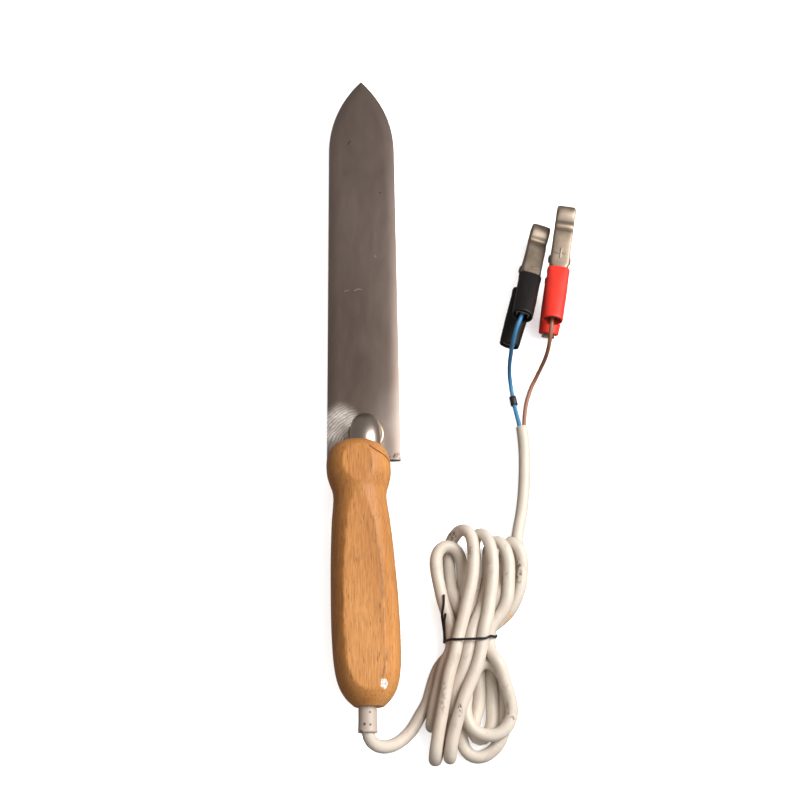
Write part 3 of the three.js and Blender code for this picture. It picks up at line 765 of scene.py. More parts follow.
# ---------- cord ----------
LEAD_ROUTE = [
    (1.3, -172, 23), (1.3, -180, 23), (1.3, -188, 23), (1.3, -195, 23), (1.7, -198.6, 22.8),
    (3.6, -202, 21.4), (8.4, -203.6, 17.4), (13.2, -202.6, 13.2), (18, -199.6, 9.2),
    (22.4, -195.2, 6.2), (25.6, -190.4, 4.4), (27.8, -185.6, 3.6),
]
TAIL_ROUTE = [
    (80.2, -98.2, 3.3), (81.4, -92, 3.3), (83.2, -84, 3.3), (84.8, -74, 3.3), (85.9, -63, 3.3),
    (86.5, -52, 3.3), (86.4, -43, 3.3), (85.8, -35.5, 3.3),
]
BLUE_ROUTE = [
    (84.7, -35.9, 3.7), (83.5, -29, 2.9), (82.5, -23, 2.3), (81.6, -16, 2.2), (80.9, -11, 3.4),
    (80.2, -7.2, 7), (79.8, -3.8, 13.5), (79.9, -1, 21), (80.3, 1.8, 27.4), (81.2, 5.4, 32.6),
    (82.8, 10, 35.8), (85.3, 15.8, 36.1), (87.4, 22.4, 33.4),
]
BROWN_ROUTE = [
    (86.9, -35.9, 3.7), (87.9, -28, 2.7), (89.4, -20.8, 1.9), (92.2, -12.8, 2), (94.3, -8.8, 3.4),
    (96.1, -5.8, 6.6), (98, -2.8, 11.8), (99.3, -0.6, 17.6), (100.1, 1.8, 23), (100.7, 4.8, 27.4),
    (101.2, 9, 30.4), (102, 14.6, 31.5), (103.2, 22.6, 30.3),
]
# Each turn of the hank runs up from the near end, round a loop at the far end and back down
# round a loop at the near end. All turns squeeze through the tie at TIE_Y.
TURN_A = [
    (32.5, -183, 3.3), (35.5, -177, 3.2), (38, -169, 3.2), (41, -160, 3.2), (43.5, -152, 3.2),
    (46, -142.5, 3.3), (48.5, -131.5, 3.8), (50, -123, 4.6), (50.5, -115, 5.4), (50, -108.5, 6.8),
    (47.5, -103, 9), (43, -101, 10.8), (39, -103.5, 11.4), (37, -108.5, 11.8), (37, -114, 11.8),
    (37.5, -119.5, 11.4), (39, -125.5, 11), (40.5, -132, 10.6), (42, -138.5, 10.2), (44, -150, 9.6),
    (42.5, -156, 9.6), (40.5, -162, 9.6), (38.5, -168, 9.8), (37, -173.5, 10), (35.5, -179, 10),
    (34, -184.5, 9.8), (33, -192, 9.2), (32.5, -197.5, 7), (33, -197.5, 4.2),
]
TURN_B = [
    (35, -193.5, 3.2), (37.5, -187.5, 3.2), (40.5, -179, 3.2), (43.5, -169.5, 3.2), (47, -159.5, 3.2),
    (49.5, -149, 3.2), (48, -139, 3.4), (46.5, -130, 4), (45, -124, 4.2), (44.5, -117, 4.2),
    (44, -110, 4.2), (44, -104, 4.8), (46, -99.5, 7), (48.5, -95.5, 10.8), (52, -94, 14.6),
    (55.5, -97.5, 16.6), (56, -104, 17.2), (56, -112, 17.2), (55.5, -118, 17), (54, -126, 16.8),
    (51.5, -134.5, 16.6), (49.5, -142.5, 16.2), (47, -151, 15.8), (45.5, -157.5, 16),
    (43.5, -165, 16.2), (41.5, -172, 16.4), (39, -181.5, 16.6), (37, -191.5, 16.8), (35, -200.5, 16.8),
    (34, -207.5, 15.6), (33.5, -211, 11.6), (34, -210.5, 7.4), (35.5, -206, 4.2),
]
TURN_C = [
    (38, -197.5, 3.2), (41, -189.5, 3.2), (44, -180, 3.6), (46.5, -170.5, 5.6), (48.5, -161, 8),
    (50, -150, 9.6), (52.5, -141, 8.6), (56, -131, 7.2), (58, -123, 6.6), (59, -115, 6.4),
    (58.5, -107.5, 6.4), (57, -101.5, 7), (57, -97.5, 9.6), (60, -95, 13), (63.5, -99, 15.6),
    (65, -105, 16.8), (66, -112, 17), (65.5, -118.5, 17), (65, -125.5, 16.8), (63.5, -132.5, 16.5),
    (61, -141.5, 16.1), (58, -151.5, 15.8), (57, -158, 16), (54, -166.5, 16.3), (51.5, -173.5, 16.6),
    (49, -181, 16.8), (46.5, -187, 17), (44.5, -193.5, 17), (42.5, -200.5, 16.6), (41, -207.5, 15),
    (41, -211, 11), (41.5, -209.5, 7),
]
TURN_D = [
    (42.5, -203, 5), (43, -196.5, 6), (44, -188.5, 8), (45.5, -178, 9.4), (49, -164.5, 11),
    (53.5, -151, 12.8), (58, -141, 10.4), (62, -132.5, 8.2), (64, -124, 6.8), (64.5, -115, 6.2),
    (64, -107.5, 6.2), (65.5, -99.5, 7.6), (69, -98.5, 10), (72.5, -102.5, 12), (74, -109, 13),
    (74.5, -115.5, 13.3), (74, -120.5, 13.2), (73, -126, 12.8), (71, -132.5, 12.2), (68.5, -138, 11.5),
    (66, -143.5, 10.8), (63.5, -150.5, 9.8), (65, -158.5, 11), (66, -163, 11.8), (67.8, -168, 12.2),
    (69.6, -173, 12.2), (71.3, -178, 11.8), (72.9, -183.5, 11), (73.2, -188, 10.4), (72, -192, 10.2),
    (69.5, -196, 10.2), (66.5, -198, 10.2), (62.5, -199.5, 10.2), (58, -198.5, 10.2),
    (54, -196.5, 10.4), (51, -193.5, 10.6), (49, -189, 10.6),
]
TURN_E = [
    (48, -183, 10.2), (49, -176, 9.8), (51, -169, 9.6), (54, -162.5, 9.4), (57.5, -158, 9),
    (60.5, -158.5, 8.4), (63, -162, 7), (65, -166.5, 5.4), (67, -172, 4.2), (68, -177.5, 3.4),
    (69.5, -185, 3.2), (69.5, -193, 3.2), (67.5, -199.5, 3.2), (64.5, -204, 3.2), (60.5, -207, 3.2),
    (56.5, -208.5, 3.2), (52.5, -209, 3.2), (49.5, -207, 3.2), (47.5, -203.5, 3.2), (47, -199, 3.2),
    (48, -192, 3.2), (49.5, -183.5, 3.3), (51.5, -173.5, 4.4), (54, -163, 7), (56, -150.5, 9.6),
    (60.5, -141, 7.4), (66, -132.5, 5), (71, -124.5, 3.6), (74, -116.5, 3.3), (74.5, -109, 3.3),
    (75, -101, 4), (77, -97.5, 5.6), (80, -101.5, 7.4), (81.5, -108, 8.6), (81.5, -115.5, 8.8),
    (81, -121.5, 8.6), (79.5, -126.5, 8), (77.5, -131.5, 7.2), (74.5, -136, 6.2), (71.5, -140, 5.2),
    (68, -144, 4.2),
]
TURN_F = [
    (64.5, -150, 3.2), (62.5, -156.5, 3.2), (61.5, -163, 3.2), (61.5, -171, 3.2), (62.5, -179.5, 3.2),
    (63.5, -187.5, 3.2), (62.5, -194.5, 3.2), (59.5, -199.5, 3.2), (55, -202.5, 3.2), (51.5, -201, 3.2),
    (50.5, -196, 3.2), (52, -189.5, 3.2), (54, -183.5, 3.2), (56, -175.5, 3.2), (57, -166.5, 3.2),
    (57, -158, 3.2), (57.5, -149.5, 3.2), (61, -139.5, 3.2), (66.5, -130, 3.2), (73, -120, 3.2),
    (77.5, -110.5, 3.2), (80, -103, 3.2),
]
HANK_STEP = 3.0
TIE_SPAN = (44.0, 62.8)
RELAX_ROUNDS = 300
SHARPEST_BEND = 4.2
SHARPEST_SAG = HANK_STEP ** 2 / (2.0 * SHARPEST_BEND)


def hank_line():
    """The whole cord's centre line: the turns as listed, then pressed apart to a cord's width."""
    turns = TURN_A + TURN_B + TURN_C + TURN_D + TURN_E + TURN_F
    line = spline(LEAD_ROUTE + turns + TAIL_ROUTE, HANK_STEP)
    first = int(length_of(spline(LEAD_ROUTE, HANK_STEP)) / HANK_STEP) - 2
    last = len(line) - int(length_of(spline(TAIL_ROUTE, HANK_STEP)) / HANK_STEP) - 1
    return relaxed(line, first, last)


def relaxed(home, first, last):
    """Pushes the turns apart where they are closer than the cord's width, and eases every bend.
    Turns lying high are held near their places, and the tie draws them all in at its own station."""
    count = len(home)
    index = np.arange(count)
    apart = np.abs(index[:, None] - index[None, :]) > 7
    free = ((index >= first) & (index < last)).astype(float)[:, None]
    hold = 0.1 + 0.12 * np.clip((home[:, 2] - 8.0) / 6.0, 0.0, 1.0)[:, None]
    hold[first:first + 16] = 0.2
    line = home.copy()
    for turn in range(RELAX_ROUNDS):
        done = turn / RELAX_ROUNDS
        away = line[:, None, :] - line[None, :, :]
        distance = np.sqrt((away ** 2).sum(2)) + 1e-9
        gap = 2.02 * CORD_RADIUS - distance
        touching = (gap > 0.0) & apart
        share = np.where(touching, gap / distance, 0.0)
        push = (away * share[:, :, None]).sum(1) * 0.35 / np.sqrt(np.maximum(touching.sum(1), 1))[:, None]
        for _ in range(2):
            push[1:-1] = (push[:-2] + 2.0 * push[1:-1] + push[2:]) / 4.0
        line = line + free * push
        eased = line.copy()
        eased[2:-2] = (4.0 * line[1:-3] + 4.0 * line[3:-1] - line[:-4] - line[4:]) / 6.0
        line = line + free * (0.35 if done < 0.85 else 0.1) * (eased - line)
        line = line + free * hold * (1.0 - done) * (home - line)
        unbend(line, free)
        near_tie = np.exp(-((line[:, 1] - TIE_Y) / 5.0) ** 2)
        inward = np.maximum(TIE_SPAN[0] - line[:, 0], 0.0) + np.minimum(TIE_SPAN[1] - line[:, 0], 0.0)
        line[:, 0] += free[:, 0] * near_tie * 0.5 * inward
        line[:, 2] = np.maximum(line[:, 2] - 0.01 * free[:, 0], CORD_RADIUS)
        if turn % 20 == 19:
            line[first:last] = respaced(line[first:last], last - first)
    for _ in range(40):
        unbend(line, free)
        line[:, 2] = np.maximum(line[:, 2], CORD_RADIUS)
    return line


def unbend(line, free):
    """Opens the bends that are sharper than SHARPEST_BEND by moving each point and its neighbours."""
    sag = line[1:-1] - 0.5 * (line[:-2] + line[2:])
    depth = np.linalg.norm(sag, axis=1)[:, None]
    excess = sag * np.maximum(depth - SHARPEST_SAG, 0.0) / (depth + 1e-9)
    line[1:-1] -= 0.5 * free[1:-1] * excess
    line[2:-1] += 0.25 * free[2:-1] * excess[:-1]
    line[1:-2] += 0.25 * free[1:-2] * excess[1:]


def make_cord():
    line = spline(hank_line(), 2.0)
    piece = tube("cord", line, CORD_RADIUS, 20, round_ends=0.12)
    finish_piece(piece, CREAM_PVC, "cord_pvc", "knife", "cord_lead", "cord_hank", "cord_tail")
    [tuple(p) for p in mm(line)]
    return line


def make_cores(clip_pieces):
    for colour, route_points, finish, slot in (("blue", BLUE_ROUTE, BLUE_PVC, "blue_pvc"),
                                               ("brown", BROWN_ROUTE, BROWN_PVC, "brown_pvc")):
        clip = "black" if colour == "blue" else "red"
        line = spline(route_points, 1.5)
        piece = tube(f"{colour}_core_wire", line, CORE_RADIUS, 14, round_ends=0.2)
        finish_piece(piece, finish, slot, None, f"{colour}_core")
        start = mm(route_points[-8])
        end = mm(route_points[-2])
        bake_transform(piece)
        pieces = list(clip_pieces[clip])
        if colour == "blue":
            pieces.append(make_band())
        tuple(mm(route_points[0]))
        [tuple(p) for p in mm(line)]


BAND_AT = (82.15, -20.2, 2.15)
BAND_HALF = 2.6
BAND_TURN = 9.0


def make_band():
    bore = CORE_RADIUS + 0.15
    outer = CORE_RADIUS + 0.85
    ends = 0.25
    profile = [(bore, -BAND_HALF), (outer - ends, -BAND_HALF), (outer, ends - BAND_HALF), (outer - 0.12, 0.0),
               (outer, BAND_HALF - ends), (outer - ends, BAND_HALF), (bore, BAND_HALF)]
    piece = turned("marker_band", profile, 24)
    place = Matrix.Translation(Vector(mm(BAND_AT))) @ Matrix.Rotation(math.radians(BAND_TURN), 4, "Z")
    piece.data.transform(place)
    finish_piece(piece, BLACK_PLASTIC, "black_plastic", "knife", "core_marker_band")
    return piece


# Each end of the tie as places along Y with an angle round the strand it lies on.
TIE_ENDS = [
    [(-128.6, 76), (-131.4, 84), (-134.2, 104), (-136.2, 122), (-138.4, 146), (-142.5, 176), (-147.0, 190)],
    [(-148.5, 200), (-145.5, 178), (-142.8, 152), (-140.6, 130), (-138.2, 108)],
]


def beside(limb, y, angle):
    """A place for the tie's wire against the leftmost upper strand, at an angle round it."""
    nearest = min(limb, key=lambda p: abs(p[1] - y) + 0.5 * p[0])
    reach = CORD_RADIUS + TIE_WIRE
    turn = math.radians(angle)
    return (nearest[0] + reach * math.cos(turn), y, nearest[2] + reach * math.sin(turn))


def make_tie(line):
    """A coated wire drawn tight round the hank, with both ends bent up on the left side."""
    near = [p for p in line if abs(p[1] - TIE_Y) < 2.2]
    centres = np.array([(p[0], p[2]) for p in near])
    reach = CORD_RADIUS + TIE_WIRE + 0.05
    loop = []
    for angle in np.radians(np.arange(168.0, -176.0, -6.0)):
        toward = np.array([math.cos(angle), math.sin(angle)])
        hull = centres[np.argmax(centres @ toward)] + reach * toward
        side = math.cos(angle)
        lean = 2.2 * max(side, 0.0) ** 3 - 0.9 * math.sin(angle)
        loop.append((hull[0], TIE_Y + lean, max(hull[1], TIE_WIRE + 0.05)))
    limb = [p for p in line if p[2] > 7.5 and p[0] < 45.5 and -160.0 < p[1] < -120.0]
    first_end = [beside(limb, y, angle) for y, angle in TIE_ENDS[0]]
    last_end = [beside(limb, y, angle) for y, angle in TIE_ENDS[1]]
    path = spline(np.array(first_end + loop + last_end), 1.0)
    for _ in range(3):
        path[1:-1] = (path[:-2] + 2.0 * path[1:-1] + path[2:]) / 4.0
    piece = tube("tie_wire", path, TIE_WIRE, 12, round_ends=0.5)
    finish_piece(piece, BLACK_COATING, "tie_coating", "knife", "hank_tie_wire")


def make_entry_sleeve():
    """The sleeve round the cord where it enters the handle: a little flared, its lower lip nicked."""
    bore = CORD_RADIUS + 0.12
    outer = SLEEVE_RADIUS
    end = SLEEVE_END_Y
    profile = [(bore, SLEEVE_FRONT_Y), (outer - 0.3, SLEEVE_FRONT_Y), (outer, SLEEVE_FRONT_Y - 0.4)]
    for y in np.linspace(HANDLE_BUTT_Y + 2.0, end + 1.2, 14):
        share = (HANDLE_BUTT_Y - y) / (HANDLE_BUTT_Y - end)
        profile.append((outer + 0.28 * max(share, 0.0) ** 2, y))
    profile += [(outer + 0.3, end + 0.7), (outer + 0.2, end + 0.2), (outer - 0.15, end), (bore + 0.3, end),
                (bore, end + 0.5)]
    piece = turned("cord_entry_sleeve", profile, 40, (SHANK_X, 0.0, AXIS_Z))
    for vertex in piece.data.vertices:
        point = np.array(vertex.co) * 1000.0
        angle = math.atan2(point[2] - AXIS_Z, point[0] - SHANK_X)
        low = max(0.0, 1.0 - (point[1] - end) / 2.4)
        nick = math.exp(-((angle - 2.5) / 0.28) ** 2)
        wobble = 0.18 * noise.noise(Vector((angle, 0.2 * point[1], 0.0)))
        vertex.co.y += 0.001 * low * (1.5 * nick + wobble)
    finish_piece(piece, SLEEVE_PVC, "sleeve_plastic", "knife", "entry_sleeve")


# ---------- blade ----------
def blade_half_width(y):
    """Half the blade's width at a height of y: straight sides to the shoulder, then a curved point."""
    if y <= BLADE_SHOULDER_Y:
        share = (y - BLADE_BASE_Y) / (BLADE_SHOULDER_Y - BLADE_BASE_Y)
        return BLADE_BASE_HALF + share * (BLADE_SHOULDER_HALF - BLADE_BASE_HALF)
    control_y = BLADE_TIP_Y - BLADE_TIP_CONTROL_DROP
    a = BLADE_SHOULDER_Y - 2.0 * control_y + BLADE_TIP_Y
    b = 2.0 * (control_y - BLADE_SHOULDER_Y)
    c = BLADE_SHOULDER_Y - y
    t = -c / b if abs(a) < 1e-9 else (-b + math.sqrt(max(b * b - 4.0 * a * c, 0.0))) / (2.0 * a)
    return (1.0 - t) ** 2 * BLADE_SHOULDER_HALF + 2.0 * t * (1.0 - t) * BLADE_TIP_CONTROL_X


def blade_crown(x, y, half):
    """The top's height: flat in the middle, rolled down towards every edge, with slight ripples."""
    slope = (blade_half_width(y - 0.5) - blade_half_width(y + 0.5)) if y < BLADE_TIP_Y - 0.6 else 1.0
    inset = (half - abs(x)) / math.hypot(1.0, slope)
    drop = CROWN_DROP * max(0.0, 1.0 - inset / CROWN_WIDTH) ** 2
    ripple = 0.045 * noise.noise(Vector((0.06 * x, 0.035 * y, 0.0)))
    ripple += 0.02 * noise.noise(Vector((0.25 * x, 0.12 * y, 4.0)))
    dome = BLADE_DOME * (x / BLADE_BASE_HALF) ** 2
    return BLADE_TOP - drop - dome + ripple * min(1.0, inset / CROWN_WIDTH)


def blade_stations():
    """Heights of Y along the blade, closer together towards the tip."""
    straight = list(np.linspace(BLADE_BASE_Y, BLADE_SHOULDER_Y, 90))
    length = BLADE_TIP_Y - BLADE_SHOULDER_Y
    point = [BLADE_SHOULDER_Y + length * math.sin(0.5 * math.pi * t) for t in np.linspace(0.0, 1.0, 45)[1:-1]]
    return straight + point


def blade_solid(name, section, tip_z):
    """A closed solid from cross-sections at every station, brought to a point at the blade's tip."""
    rows = [section(y, blade_half_width(y)) for y in blade_stations()]
    sides = len(rows[0])
    last = (len(rows) - 1) * sides
    tip = len(rows) * sides
    faces = ring_faces(len(rows), sides) + [tuple(range(sides))]
    faces += [(last + side, last + (side + 1) % sides, tip) for side in range(sides)]
    return new_object(name, [point for row in rows for point in row] + [(0.0, BLADE_TIP_Y, tip_z)], faces)


def make_blade_shell():
    """The domed upper half, hollow for the heater and holed for the shank."""
    across = [math.sin(0.5 * math.pi * t) for t in np.linspace(-1.0, 1.0, 41)]
    bottom = BLADE_PLATE + FIT

    def section(y, half):
        crown = [(half * u, y, blade_crown(half * u, y, half)) for u in across]
        return crown + [(half, y, bottom), (-half, y, bottom)]

    piece = blade_solid("blade_shell", section, bottom + 0.25)
    stations = [BLADE_BASE_Y - 5.0, *np.linspace(BLADE_BASE_Y, CAVITY_TIP_Y, 40)]
    top = BLADE_TOP - BLADE_ROOF
    rows = []
    for y in stations:
        inner = max(blade_half_width(max(y, BLADE_BASE_Y)) - BLADE_RIM, 0.6)
        rows += [(-inner, y, 0.0), (inner, y, 0.0), (inner, y, top), (-inner, y, top)]
    carved(piece, new_object("cavity", rows, capped_faces(len(stations), 4)))
    hole = [(SHANK_RADIUS + FIT, -3.0), (SHANK_RADIUS + FIT, 8.0)]
    carved(piece, turned("hole", hole, 48, (SHANK_X, SHANK_Y, 2.0), "Z", False))
    sharpened(piece, 40.0)
    finish_piece(piece, BLADE_STEEL, "blade_steel", "knife", "blade_upper_shell")


def make_blade_plate():
    """The flat lower plate, its rim eased where it is ground."""
    def section(y, half):
        inner = max(half - PLATE_EASE, 0.3 * half)
        right = [(inner, 0.0), (half, PLATE_EASE), (half, BLADE_PLATE)]
        left = [(-half, BLADE_PLATE), (-half, PLATE_EASE)]
        return [(x, y, z) for x, z in [(-inner, 0.0)] + right + left]

    piece = blade_solid("blade_plate", section, 0.5 * BLADE_PLATE)
    sharpened(piece, 30.0)
    finish_piece(piece, BLADE_STEEL, "blade_steel", "knife", "blade_lower_plate")


# ---------- shank ----------
def shank_line():
    foot = BLADE_TOP - BLADE_ROOF + FIT
    bend_z = AXIS_Z - SHANK_BEND
    line = [(SHANK_X, SHANK_Y, z) for z in np.linspace(foot, bend_z, 8)]
    for angle in np.radians(np.linspace(0.0, 90.0, 25)[1:]):
        y = SHANK_Y - SHANK_BEND * (1.0 - math.cos(angle))
        line.append((SHANK_X, y, bend_z + SHANK_BEND * math.sin(angle)))
    level_y = SHANK_Y - SHANK_BEND
    line += [(SHANK_X, y, AXIS_Z) for y in np.linspace(level_y, SHANK_TAIL_Y, 24)[1:]]
    return line


def make_shank():
    piece = tube("shank", shank_line(), SHANK_RADIUS, 64, bore=SHANK_RADIUS - SHANK_WALL)
    sharpened(piece, 50.0)
    finish_piece(piece, SHANK_STEEL, "shank_steel", "knife", "shank_tube")
    foot = BLADE_TOP + 0.05
    profile = [(SHANK_RADIUS + 0.02, foot)]
    for angle in np.radians(np.linspace(0.0, 90.0, 9)):
        profile.append((SHANK_RADIUS + 1.75 - 1.7 * math.sin(angle), foot + 1.75 - 1.7 * math.cos(angle)))
    profile.append((SHANK_RADIUS + 0.02, foot + 1.75))
    fillet = turned("braze_fillet", profile, 72, (SHANK_X, SHANK_Y, 0.0), "Z")
    for vertex in fillet.data.vertices:
        away = Vector((vertex.co.x - 0.001 * SHANK_X, vertex.co.y - 0.001 * SHANK_Y, 0.0))
        angle = math.atan2(away.y, away.x)
        beyond = max(0.0, away.length * 1000.0 - SHANK_RADIUS - 0.1)
        ripple = 0.30 * noise.noise(Vector((2.2 * math.cos(angle), 2.2 * math.sin(angle), 1.0)))
        vertex.co += away.normalized() * 0.001 * beyond * ripple
    finish_piece(fillet, BRAZE, "braze", "knife", "shank_braze_ring")


# ---------- handle ----------
def sanded(radius, angle, y):
    """The handle's radius in a direction, held to each flat that spans y with a slightly eased edge."""
    for facing, depth, near_y, far_y in GRIP_FLATS + HEAD_FLATS:
        toward = math.cos(angle - math.radians(facing))
        if near_y <= y <= far_y and toward > 0.2:
            over = radius - depth / toward
            radius -= FLAT_SOFTNESS * math.log1p(math.exp(min(over / FLAT_SOFTNESS, 300.0)))
    return radius


def make_handle():
    sides = 216
    turns = np.linspace(0.0, 2.0 * math.pi, sides, endpoint=False)
    outline = spline([(r, y) for r, y in HANDLE_PROFILE], 0.8)
    rings = []
    for radius, y in outline:
        axis_x = handle_axis_x(y)
        ring = []
        for angle in turns:
            worn = 1.0 + 0.004 * noise.noise(Vector((2.0 * math.cos(angle), 2.0 * math.sin(angle), 0.05 * y)))
            reach = sanded(radius * worn, angle, y)
            ring.append((axis_x + reach * math.cos(angle), y, AXIS_Z + reach * math.sin(angle)))
        rings.append(ring)
    piece = new_object("handle_wood", [p for ring in rings for p in ring], capped_faces(len(rings), sides))
    shank_bore = SHANK_RADIUS + 0.08
    sleeve_bore = SLEEVE_RADIUS + 0.1
    tail = SHANK_TAIL_Y - 2.0
    bore = [(sleeve_bore, HANDLE_BUTT_Y - 3.0), (sleeve_bore, CAVITY_END_Y), (CAVITY_RADIUS, CAVITY_END_Y),
            (CAVITY_RADIUS, tail), (shank_bore, tail), (shank_bore, HANDLE_FRONT_Y + 3.0)]
    carved(piece, turned("bore", bore, 64, (SHANK_X, 0.0, AXIS_Z), "Y", False))
    carve_crack(piece)
    dent_nick(piece)
    sharpened(piece, 42.0)
    finish_piece(piece, BEECH, "beech", "knife", "handle")


def handle_top(x, y):
    """The height of the handle's upper surface above a point."""
    radii = [r for r, _ in HANDLE_PROFILE]
    heights = [h for _, h in HANDLE_PROFILE]
    radius = float(np.interp(-y, [-h for h in heights], radii))
    across = x - handle_axis_x(y)
    rise = math.sqrt(max(radius ** 2 - across ** 2, 0.0))
    angle = math.atan2(rise, across)
    return AXIS_Z + sanded(radius, angle, y) * math.sin(angle)


def carve_crack(piece):
    """Cuts a thin wandering split into the top of the handle's head."""
    line = spline(CRACK_ROUTE, 0.8)
    rows = []
    for i, (x, y) in enumerate(line):
        share = i / (len(line) - 1)
        width = 0.30 * math.sin(math.pi * (0.12 + 0.80 * share)) ** 0.6
        wander = 0.16 * noise.noise(Vector((1.3 * x, 1.3 * y, 0.0)))
        top = handle_top(x, y)
        at_x, at_y = x + wander, y + wander
        rows += [(at_x - 0.6 * width, at_y + width, top + 0.8), (at_x, at_y, top - 1.1),
                 (at_x + 0.6 * width, at_y - width, top + 0.8)]
    carved(piece, new_object("crack", rows, capped_faces(len(line), 3)))


def dent_nick(piece):
    """Presses a shallow torn nick into the butt's shoulder."""
    centre = Vector(mm((NICK_AT[0] + 0.3, NICK_AT[1], NICK_AT[2])))
    for vertex in piece.data.vertices:
        away = vertex.co - centre
        distance = math.hypot(away.x * 1000.0 / 2.0, away.y * 1000.0 / 3.6)
        if distance < 1.0 and vertex.co.z > 0.001 * AXIS_Z:
            vertex.co.z -= 0.00035 * (1.0 - distance ** 2)


# ---------- battery clips ----------
# A clip is drawn about its pin: +Y to the jaws, +Z to the upper lever, and set in place by CLIPS.
UPPER_WIDTH = 10.6
LOWER_WIDTH = 8.0
HANDLE_WIDTH = 7.2
SHEET = 0.8
CORNER = 1.25
HANDLE_START_Y = -8.0
HANDLE_MID_Z = 6.6
HANDLE_ANGLE = math.radians(13.0)
LEVER_TOP = [
    (-40.5, 16.1), (-24, 12.3), (-8.5, 8.72), (-5, 8.25), (4.6, 7.5), (12.6, 6.95), (15.2, 6.4),
    (17.2, 5.15), (19.4, 5.0), (21.6, 6.5), (25.2, 7.5), (28.6, 7.05), (30.8, 5.5), (31.8, 3.0),
    (32, 0.4),
]
LEVER_UNDER = [
    (-40.5, 12.1), (-8, 4.6), (-4.6, 1.8), (-3.4, -1.6), (-2, -2.9), (0, -3.4), (2, -2.9), (3.4, -1.8),
    (5.4, 0.4), (9, 1.9), (19.6, 1.9), (20.4, 0.7),
]
TOOTH_PITCH = 2.2
PIN_RADIUS = 1.25
PIN_HEAD = [(2.05, 0.0), (2.2, 0.15), (2.15, 0.45), (1.6, 0.8), (0.8, 0.95), (0.15, 1.0)]
JAW_END_Y = 32.0


def clip_place(colour):
    clip = CLIPS[colour]
    turn = Matrix.Rotation(math.radians(clip["yaw"]), 4, "Z")
    turn = turn @ Matrix.Rotation(math.radians(clip["pitch"]), 4, "X")
    turn = turn @ Matrix.Rotation(math.radians(clip["roll"]), 4, "Y")
    return Matrix.Translation(Vector(mm(clip["at"]))) @ turn


def lever_under(y):
    """Height of the side walls' lower edge: the pin's ear, the straight, then the teeth."""
    if y > LEVER_UNDER[-1][0]:
        beat = ((JAW_END_Y - 0.4 - y) / TOOTH_PITCH) % 1.0
        return 0.25 + 0.95 * (1.0 - abs(2.0 * beat - 1.0))
    return float(np.interp(y, [p[0] for p in LEVER_UNDER], [p[1] for p in LEVER_UNDER]))


def lever_half_width(y, width):
    full = 0.5 * width
    narrow = 0.5 * min(HANDLE_WIDTH, width - 0.6)
    share = float(np.interp(y, [-9.5, -4.5], [0.0, 1.0]))
    half = narrow + (full - narrow) * share * share * (3.0 - 2.0 * share)
    nose = max(0.0, (y - 29.0) / 3.0)
    return half - 1.3 * nose ** 2.2


def lever_section(y, top, half, corner, thickness_in):
    """One cross-section of the channel, from the left wall's foot over the top to the right wall's foot."""
    foot = min(lever_under(y), top - 0.15)
    corner = min(corner, max(top - foot, 0.2) * 0.8)
    side = half - thickness_in
    points = [(-side, z) for z in np.linspace(foot, top - corner, 4)]
    points += [(-side + corner * (1.0 - math.cos(a)), top - corner * (1.0 - math.sin(a)))
               for a in np.radians((22.5, 45.0, 67.5, 90.0))]
    points += [(u * (side - corner), top + 0.12 * (1.0 - u * u)) for u in (-0.6, -0.2, 0.2, 0.6)]
    points += [(-x, z) for x, z in reversed(points[:8])]
    return points


def make_lever(name, width, sign):
    """A pressed channel with rounded corners; sign is the polarity mark raised on its top, if any."""
    line = spline(LEVER_TOP, 0.45)
    tangents = np.gradient(line, axis=0)
    tangents /= np.linalg.norm(tangents, axis=1)[:, None]
    vertices = []
    for (y, z), (dy, dz) in zip(line, tangents):
        outer = lever_section(y, z, lever_half_width(y, width), CORNER, 0.0)
        inner_y = y + SHEET * dz
        inner = lever_section(y, z - SHEET * dy, lever_half_width(y, width), CORNER - 0.6, SHEET)
        vertices += [(x, y, h) for x, h in outer]
        vertices += [(x, inner_y, h) for x, h in reversed(inner)]
    sides = len(vertices) // len(line)
    piece = new_object(name, vertices, capped_faces(len(line), sides))
    if sign:
        emboss(piece, sign)
    sharpened(piece, 38.0)
    return piece


SIGN_AT = {"plus": (-0.1, 1.0), "minus": (1.4, -2.8)}
SIGN_ARM = {"plus": 3.2, "minus": 1.9}
SIGN_BAR = 0.5
SIGN_LIFT = 0.42


def emboss(piece, sign):
    """Raises a plain plus or minus, as pressed from below, on the flat of the lever."""
    arm = SIGN_ARM[sign]
    at_x, at_y = SIGN_AT[sign]
    bars = [(arm, SIGN_BAR)] if sign == "minus" else [(arm, SIGN_BAR), (SIGN_BAR, arm)]
    line = spline(LEVER_TOP, 0.45)
    builder = bmesh.new()
    builder.from_mesh(piece.data)
    for half_x, half_y in bars:
        outline = rounded([(-half_x, -half_y), (half_x, -half_y), (half_x, half_y), (-half_x, half_y)], 0.4)
        rings = []
        for inset, lift in ((0.0, -0.5), (0.0, 0.6), (0.1, 0.9), (0.25, 1.0)):
            ring = []
            for x, y in outline:
                near_x = x - math.copysign(min(inset, abs(x)), x)
                near_y = y - math.copysign(min(inset, abs(y)), y)
                top = float(np.interp(at_y + near_y, line[:, 0], line[:, 1]))
                height = top + 0.1 + SIGN_LIFT * lift
                ring.append(builder.verts.new(mm((at_x + near_x, at_y + near_y, height))))
            rings.append(ring)
        for low, high in zip(rings, rings[1:]):
            for i in range(len(outline)):
                j = (i + 1) % len(outline)
                builder.faces.new((low[i], low[j], high[j], high[i]))
        builder.faces.new(rings[-1])
        builder.faces.new(tuple(reversed(rings[0])))
    builder.to_mesh(piece.data)
    builder.free()


